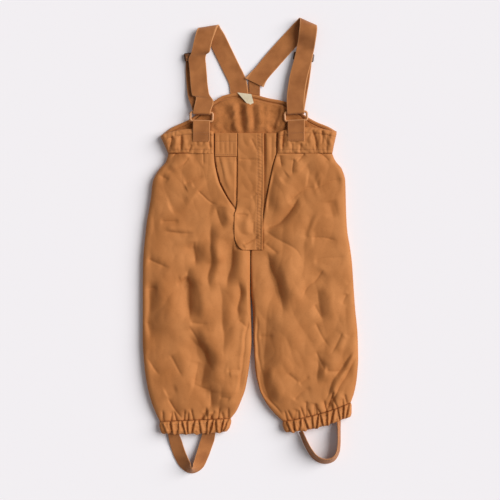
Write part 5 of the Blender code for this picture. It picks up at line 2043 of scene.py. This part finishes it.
def even_stations(stations: Array, spacing: float) -> Array:
    """Read a strap's stations as a smooth run, about a spacing apart.

    Args:
        stations: A row for each station.
        spacing: The distance wanted between them.

    Returns:
        The closer rows.
    """
    steps = np.linalg.norm(np.diff(stations[:, :3], axis=0), axis=1)
    padded = np.vstack([2 * stations[0] - stations[1], stations, 2 * stations[-1] - stations[-2]])
    result = []
    for index, step in enumerate(steps):
        p0, p1, p2, p3 = padded[index:index + 4]
        before = max(steps[index - 1], 1.0) if index else step
        after = steps[index + 1] if index + 1 < len(steps) else step
        leave = ((p2 - p1) / step * before + (p1 - p0) / before * step) / (before + step) * step
        arrive = ((p3 - p2) / after * step + (p2 - p1) / step * after) / (after + step) * step
        parts = max(1, round(step / spacing))
        for share in np.arange(parts) / parts:
            result.append(
                p1 * (1 + 2 * share) * (1 - share) ** 2 + leave * share * (1 - share) ** 2
                + p2 * share ** 2 * (3 - 2 * share) - arrive * share ** 2 * (1 - share)
            )
    result.append(stations[-1])
    return np.array(result)


def wrap(centre: Place, heading: float, radius: float, angles: Pair, width: float,
         steps: int) -> Array:
    """Return stations round a bar.

    Args:
        centre: The bar's middle.
        heading: How its length points, in degrees from +X.
        radius: Of the strap's own middle.
        angles: First and last angle: 0 is up the garment and 90 is away from the surface.
        width: The strap's width.
        steps: How many stations there are.

    Returns:
        A row for each station.
    """
    across = math.radians(heading + 90.0)
    rows = []
    for angle in np.radians(np.linspace(*angles, steps)):
        out = radius * math.cos(angle)
        rows.append((centre[0] + out * math.cos(across), centre[1] + out * math.sin(across),
                     centre[2] + radius * math.sin(angle), heading, 0.0, width))
    return np.array(rows)


# Half of a strap's outline: across its width and through its thickness, both from -1 to 1.
STRAP_OUTLINE = (
    (-1.0, 0.0), (-0.992, 0.62), (-0.965, 0.95), (-0.9, 1.0), (-0.8, 0.86), (-0.45, 0.82), (0.0, 0.82),
    (0.45, 0.82), (0.8, 0.86), (0.9, 1.0), (0.965, 0.95), (0.992, 0.62), (1.0, 0.0),
)


def strap_piece(name: str, stations: Array, wall: float) -> Piece:
    """Sweep a woven strap along its stations, with thicker selvedges and square ends.

    Args:
        name: The piece's name.
        stations: A row for each place along it.
        wall: Its thickness.

    Returns:
        The new piece.
    """
    half = np.array(STRAP_OUTLINE)
    outline = np.concatenate([half, half[-2:0:-1] * (1.0, -1.0)])
    heading, tilt = np.radians(stations[:, 3]), np.radians(stations[:, 4])
    across = np.column_stack([np.cos(heading) * np.cos(tilt), np.sin(heading) * np.cos(tilt), np.sin(tilt)])
    along = np.gradient(stations[:, :3], axis=0)
    face = np.cross(across, along)
    face /= np.linalg.norm(face, axis=1)[:, None]
    points = (stations[:, None, :3]
              + across[:, None, :] * outline[None, :, :1] * stations[:, None, 5:6] / 2.0
              + face[:, None, :] * outline[None, :, 1:] * wall / 2.0)
    count, around = points.shape[:2]
    index = np.arange(count * around).reshape(count, around)
    turn = np.roll(index, -1, axis=1)
    quads = np.stack([index[:-1], index[1:], turn[1:], turn[:-1]], axis=-1).reshape(-1, 4)
    faces = [list(q) for q in quads] + [list(index[0]), list(index[-1][::-1])]
    steps = np.linalg.norm(np.diff(stations[:, :3], axis=0), axis=1)
    run = np.concatenate([[0.0], np.cumsum(steps)])
    cloth = np.stack([outline[None, :, 0] * stations[:, 5:6] / 2.0,
                      np.broadcast_to(run[:, None], (count, around))], axis=-1)
    here = points[count // 2]
    outward = np.cross(points[count // 2 + 1, 6] - here[6], here[7] - here[6])
    if outward @ face[count // 2] < 0.0:
        faces = [f[::-1] for f in faces]
    return mesh_piece(name, points.reshape(-1, 3) * MM, faces, cloth.reshape(-1, 2) * MM)


def put(piece: Piece, place: Place, z: float) -> None:
    """Turn and move a piece to its place, and keep that in its mesh.

    Args:
        piece: The piece, modelled round the origin.
        place: Its middle in plan and its heading in degrees.
        z: Its level.
    """
    piece.rotation_euler = (0.0, 0.0, math.radians(place[2]))
    piece.location = (place[0] * MM, place[1] * MM, z * MM)
    bpy.ops.object.select_all(action="DESELECT")
    piece.select_set(True)
    bpy.context.view_layer.objects.active = piece
    bpy.ops.object.transform_apply(location=True, rotation=True, scale=True)


@dataclass
class Hardware:
    """The moulded ring and slider of one brace."""

    side: Side
    wardrobe: Wardrobe

    def ring(self) -> None:
        """Model the ring: a rectangle with round corners and a round bar."""
        bpy.ops.object.select_all(action="DESELECT")
        bpy.ops.mesh.primitive_plane_add(size=1.0, location=(0.0, 0.0, 0.0))
        ring = bpy.context.object
        ring.name = f"brace_ring_{self.side.value}"
        ring.scale = ((RING_SIZE[0] - RING_BAR) * MM, (RING_SIZE[1] - RING_BAR) * MM, 1.0)
        bpy.ops.object.transform_apply(location=False, rotation=False, scale=True)
        bpy.ops.object.mode_set(mode="EDIT")
        bpy.ops.mesh.select_all(action="SELECT")
        bpy.ops.mesh.bevel(offset=RING_CORNER * MM, segments=7, affect="VERTICES")
        bpy.ops.mesh.delete(type="ONLY_FACE")
        bpy.ops.object.mode_set(mode="OBJECT")
        bpy.ops.object.convert(target="CURVE")
        ring.data.bevel_depth = RING_BAR / 2.0 * MM
        ring.data.bevel_resolution = 5
        bpy.ops.object.convert(target="MESH")
        ring.data.shade_smooth()
        put(ring, RING_PLACE[self.side], RING_Z)
        dress(ring, self.wardrobe.plastic, (f"ring_{self.side.value}",))

    def slot_cutter(self, offset: float) -> Piece:
        """Model the block that cuts one of the slider's slots.

        Args:
            offset: The slot's place along Y.

        Returns:
            The block.
        """
        bpy.ops.mesh.primitive_cube_add(size=1.0, location=(0.0, offset * MM, 0.0))
        cutter = bpy.context.object
        cutter.scale = (SLIDER_SLOT[0] * MM, SLIDER_SLOT[1] * MM, 4.0 * SLIDER_SIZE[2] * MM)
        bpy.ops.object.transform_apply(location=True, rotation=False, scale=True)
        return cutter

    def slider(self) -> None:
        """Model the slider: a flat frame with a middle bar, its edges eased."""
        bpy.ops.object.select_all(action="DESELECT")
        bpy.ops.mesh.primitive_cube_add(size=1.0, location=(0.0, 0.0, 0.0))
        slider = bpy.context.object
        slider.name = f"brace_slider_{self.side.value}"
        slider.scale = tuple(size * MM for size in SLIDER_SIZE)
        bpy.ops.object.transform_apply(location=False, rotation=False, scale=True)
        for edge in slider.data.edges:
            ends = [slider.data.vertices[i].co for i in edge.vertices]
            edge.select = abs(ends[0].z - ends[1].z) > SLIDER_SIZE[2] * MM / 2.0
        bpy.ops.object.mode_set(mode="EDIT")
        bpy.ops.mesh.select_mode(type="EDGE")
        bpy.ops.mesh.bevel(offset=SLIDER_CORNER * MM, segments=5)
        bpy.ops.object.mode_set(mode="OBJECT")
        offset = (SLIDER_MIDDLE_BAR + SLIDER_SLOT[1]) / 2.0
        for way in (1.0, -1.0):
            cutter = self.slot_cutter(way * offset)
            cut = slider.modifiers.new("slot", "BOOLEAN")
            cut.operation = "DIFFERENCE"
            cut.object = cutter
            bpy.context.view_layer.objects.active = slider
            bpy.ops.object.modifier_apply(modifier=cut.name)
            bpy.data.objects.remove(cutter)
        eased = slider.modifiers.new("eased", "BEVEL")
        eased.width = SLIDER_EASE * MM
        eased.segments = 3
        eased.limit_method = "ANGLE"
        bpy.ops.object.modifier_apply(modifier=eased.name)
        put(slider, SLIDER_PLACE[self.side], SLIDER_Z)
        slider.data.shade_smooth()
        slider.data.set_sharp_from_angle(angle=math.radians(SLIDER_SHARP_ANGLE))
        dress(slider, self.wardrobe.dark_plastic, (f"slider_{self.side.value}",))


@dataclass
class Brace:
    """One brace with its tab: webbing from the centre back to its ring, and back to its slider."""

    side: Side
    wardrobe: Wardrobe
    spacing: float = 3.0
    tab_spacing: float = 2.0
    tab_cut: Pair = (0.027, 0.055)
    box_inset: float = 2.0          # of the box of stitches on the tab
    box_height: float = 12.0

    def bar(self, way: float) -> tuple[Place, float]:
        """Return the middle and heading of the ring's upper bar, or its lower one.

        Args:
            way: 1 for the upper bar and -1 for the lower one.

        Returns:
            The middle, and the heading in degrees.
        """
        x, y, heading = RING_PLACE[self.side]
        offset = way * (RING_SIZE[1] - RING_BAR) / 2.0
        across = math.radians(heading + 90.0)
        return (x + offset * math.cos(across), y + offset * math.sin(across), RING_Z), heading

    def webbing(self) -> None:
        """Make the strap from the centre back, round the ring and up to the slider."""
        bar, heading = self.bar(1.0)
        radius = (RING_BAR + WEBBING_WALL) / 2.0 + WRAP_CLEARANCE
        first = wrap(bar, heading, radius, (90.0, 100.0), WEBBING_WIDTH, 2)
        turn = wrap(bar, heading, radius, (100.0, 270.0), WEBBING_WIDTH, 14)
        x, y, slider_heading = SLIDER_PLACE[self.side]
        clear = math.hypot(SLIDER_MIDDLE_BAR, SLIDER_SIZE[2]) / 2.0 + WRAP_CLEARANCE + WEBBING_WALL / 2.0
        slider_turn = wrap((x, y, SLIDER_Z), slider_heading, clear, (-90.0, 90.0), WEBBING_WIDTH, 12)
        tail = slider_turn[-1:].copy()
        along = math.radians(slider_heading - 90.0)
        tail[0, 0] += SLIDER_TAIL * math.cos(along)
        tail[0, 1] += SLIDER_TAIL * math.sin(along)
        down = np.vstack([rows_of(BRACE_FRONT[self.side]), first])
        up = np.vstack([turn[-1:], rows_of(BRACE_RETURN[self.side]), slider_turn[:1]])
        run = np.vstack([
            even_stations(down, self.spacing)[:-1], turn[:-1],
            even_stations(up, self.spacing)[:-1], slider_turn, tail,
        ])
        piece = strap_piece(f"brace_webbing_{self.side.value}", run, WEBBING_WALL)
        dress(piece, self.wardrobe.webbing, (f"brace_{self.side.value}",))

    def tab(self) -> Piece:
        """Make the tab that holds the ring to the band.

        Returns:
            The tab.
        """
        bar, heading = self.bar(-1.0)
        radius = (RING_BAR + WEBBING_WALL) / 2.0 + WRAP_CLEARANCE
        foot_y = TAB_FOOT_Y[self.side]
        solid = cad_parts[f"tab_{self.side.value}"].data.vertices
        foot = [v.co.z / MM for v in solid if v.co.y / MM < foot_y + 1.0]
        level = max(foot) - WEBBING_WALL / 2.0
        turn = wrap(bar, heading, radius, (-90.0, -270.0), TAB_WIDTH, 13)
        tail = turn[:1].copy()
        tail[0, 1] -= TAB_TAIL
        high, low = bar[1] - TAB_SLOPE[0], bar[1] - TAB_SLOPE[1]
        front = np.array([
            turn[-1],
            (bar[0], high, (turn[-1, 2] + level + LAY_GAP) / 2.0, heading / 2.0, 0.0, TAB_WIDTH),
            (bar[0], low, level, 0.0, 0.0, TAB_WIDTH),
            (bar[0], (low + foot_y) / 2.0, level, 0.0, 0.0, TAB_WIDTH),
            (bar[0], foot_y, level, 0.0, 0.0, TAB_WIDTH),
        ])
        run = np.vstack([tail, turn[:-1], even_stations(front, self.tab_spacing)])
        piece = strap_piece(f"ring_tab_{self.side.value}", run, WEBBING_WALL)
        dress(piece, self.wardrobe.webbing, (f"tab_{self.side.value}",))
        return piece

    def sew(self, sewing: Sewing) -> None:
        """Sew the box that holds the tab to the band.

        Args:
            sewing: Takes the stitches.
        """
        middle = RING_PLACE[self.side][0]
        half = TAB_WIDTH / 2.0 - self.box_inset
        low = TAB_FOOT_Y[self.side] + self.box_inset
        high = low + self.box_height
        corners = [(middle - half, low), (middle + half, low), (middle + half, high), (middle - half, high)]
        for start, end in zip(corners, corners[1:] + corners[:1]):
            sewing.run([start, end])


@dataclass
class FootLoop:
    """The strap that passes under the foot."""

    side: Side
    wardrobe: Wardrobe
    spacing: float = 2.0

    def build(self) -> None:
        """Make the strap from one side of the ankle casing to the other."""
        rows = rows_of(FOOT_LOOP[self.side])
        ends = [rows[i] + (rows[i] - rows[j]) * 0.7 for i, j in ((0, 1), (-1, -2))]
        run = even_stations(np.vstack([ends[0], rows, ends[1]]), self.spacing)
        tilt = np.radians(run[:, 4])
        lowest = (run[:, 5] * np.sin(tilt) + LOOP_WALL * np.cos(tilt)) / 2.0
        run[:, 2] = np.maximum(run[:, 2], lowest + LOOP_REST_Z)
        piece = strap_piece(f"foot_strap_{self.side.value}", run, LOOP_WALL)
        dress(piece, self.wardrobe.narrow_webbing, (f"foot_loop_{self.side.value}",))


@dataclass
class CentreBack:
    """The stitched patch over the braces' ends, and the bare tape label."""

    wardrobe: Wardrobe
    spacing: float = 1.2
    rim: float = 1.0
    inset: float = 2.0              # how far in from its edges the patch is sewn
    sag: float = 0.8                # how far the label's free side bows up
    patch_cut: Pair = (0.02, 0.025)
    label_cut: Pair = (0.022, 0.017)
    label_area: float = 0.00032

    def patch(self, bib: Bib) -> Piece:
        """Make the webbing patch, whose foot follows the bib's top edge.

        Args:
            bib: The bib.

        Returns:
            The patch.
        """
        plan = straight_plan(PATCH_SPAN, PATCH_Y, self.rim, self.spacing)
        share = (PATCH_Y[1] - plan[:, :, 1]) / (PATCH_Y[1] - PATCH_Y[0])
        foot = bib.top(plan[:, :, 0]) + LAY_GAP
        plan[:, :, 1] = PATCH_Y[1] - (PATCH_Y[1] - foot) * share
        piece = slab_piece("brace_patch_webbing", plan, np.full(plan.shape[:2], PATCH_Z),
                           WEBBING_WALL, self.rim)
        dress(piece, self.wardrobe.webbing, ("brace_patch",))
        return piece

    def label(self) -> None:
        """Make the label, fixed along the bib's hem and standing free below it."""
        corners = np.array([(*c, z) for c, z in zip(LABEL_CORNERS, LABEL_HEIGHTS)])
        share = places_between(1.0, 0.05, 0.05, 0.06)
        across, down = share[None, :, None], share[:, None, None]
        top = corners[0] + (corners[1] - corners[0]) * across
        foot = corners[3] + (corners[2] - corners[3]) * across
        lower = top + (foot - top) * down
        lower[:, :, 2] += (self.sag * np.sin(math.pi * down) * across)[:, :, 0]
        upper = lower + np.array([0.0, 0.0, LABEL_WALL])
        piece = wall_piece("tape_label", upper, lower)
        dress(piece, self.wardrobe.label, ("label",))

    def sew(self, sewing: Sewing) -> None:
        """Sew the patch's box and its two crossing lines.

        Args:
            sewing: Takes the stitches.
        """
        x0, x1 = PATCH_SPAN[0] + self.inset, PATCH_SPAN[1] - self.inset
        y0, y1 = PATCH_Y[0] + self.inset, PATCH_Y[1] - self.inset
        for line in (((x0, y0), (x1, y0)), ((x1, y0), (x1, y1)), ((x1, y1), (x0, y1)),
                     ((x0, y1), (x0, y0)), ((x0, y0), (x1, y1)), ((x0, y1), (x1, y0))):
            sewing.run(line)


# ---------------------------------------------------------------- the studio


@dataclass
class Studio:
    """A pale floor under soft light from the wearer's left, and a camera straight above."""

    wardrobe: Wardrobe
    view_height: float = 2.5
    view_middle: Pair = (-0.0008, -0.0064)
    field: float = 0.8              # how much of the floor the picture spans
    floor_size: float = 40.0
    floor_drop: float = 0.0004
    sun_from: float = 18.0          # degrees from +X towards +Y
    sun_height: float = 37.0
    sun_spread: float = 50.0
    sun_power: float = 3.82
    sky: float = 0.225

    def floor(self) -> None:
        """Lay the floor just under the garment."""
        bpy.ops.object.select_all(action="DESELECT")
        bpy.ops.mesh.primitive_plane_add(size=self.floor_size, location=(0.0, 0.0, -self.floor_drop))
        floor = bpy.context.object
        floor.name = "studio_floor"
        floor.data.materials.append(self.wardrobe.floor)

    def light(self) -> None:
        """Set the soft key light and the even light from all round."""
        bpy.ops.object.light_add(type="SUN")
        sun = bpy.context.object
        sun.name = "key_light"
        sun.data.energy = self.sun_power
        sun.data.angle = math.radians(self.sun_spread)
        turn, rise = math.radians(self.sun_from), math.radians(self.sun_height)
        to_sun = Vector((math.cos(turn) * math.cos(rise), math.sin(turn) * math.cos(rise), math.sin(rise)))
        sun.rotation_euler = to_sun.to_track_quat("Z", "Y").to_euler()
        world = bpy.data.worlds.new("studio_air")
        world.use_nodes = True
        world.node_tree.nodes["Background"].inputs["Color"].default_value = (1.0, 0.99, 1.0, 1.0)
        world.node_tree.nodes["Background"].inputs["Strength"].default_value = self.sky
        bpy.context.scene.world = world
        bpy.context.scene.view_settings.view_transform = "Standard"

    def camera(self) -> None:
        """Hang the camera straight above the garment."""
        bpy.ops.object.camera_add(location=(*self.view_middle, self.view_height), rotation=(0, 0, 0))
        camera = bpy.context.object
        camera.name = "view_from_above"
        camera.data.lens = camera.data.sensor_width * self.view_height / self.field
        bpy.context.scene.camera = camera


def main() -> None:
    """Build the garment from the ankles up, sew it, and light it."""
    logging.basicConfig(level=logging.INFO, format="%(message)s")
    wardrobe = Wardrobe()
    studio = Studio(wardrobe)
    studio.floor()
    studio.light()
    studio.camera()
    fronts, bands, tabs = [], [], []
    for side in Side:
        leg = Leg(side, wardrobe)
        leg.back()
        fronts.append(leg.front())
        cuff = leg.cuff()
        leg.seams(fronts[-1], cuff).join(wardrobe.thread)
        band = Waistband(side, wardrobe)
        bands.append((band, band.build()))
        brace = Brace(side, wardrobe)
        brace.webbing()
        tabs.append((brace, brace.tab()))
        hardware = Hardware(side, wardrobe)
        hardware.ring()
        hardware.slider()
        FootLoop(side, wardrobe).build()
    bib = Bib(wardrobe)
    shell = bib.shell()
    bib.lining()
    fly = Fly(wardrobe)
    fly.panel()
    facing = fly.facing()
    flap = fly.flap(fronts)
    centre = CentreBack(wardrobe)
    patch = centre.patch(bib)
    centre.label()
    waist = Sewing("waist_stitching", [piece for _, piece in bands + tabs] + [facing, flap])
    for band, _ in bands:
        band.sew(waist)
    for brace, _ in tabs:
        brace.sew(waist)
    fly.sew(waist)
    waist.join(wardrobe.thread)
    back = Sewing("back_stitching", [shell, patch])
    back.run(bib.hem_line)
    centre.sew(back)
    back.join(wardrobe.thread)


if __name__ == "__main__":
    main()
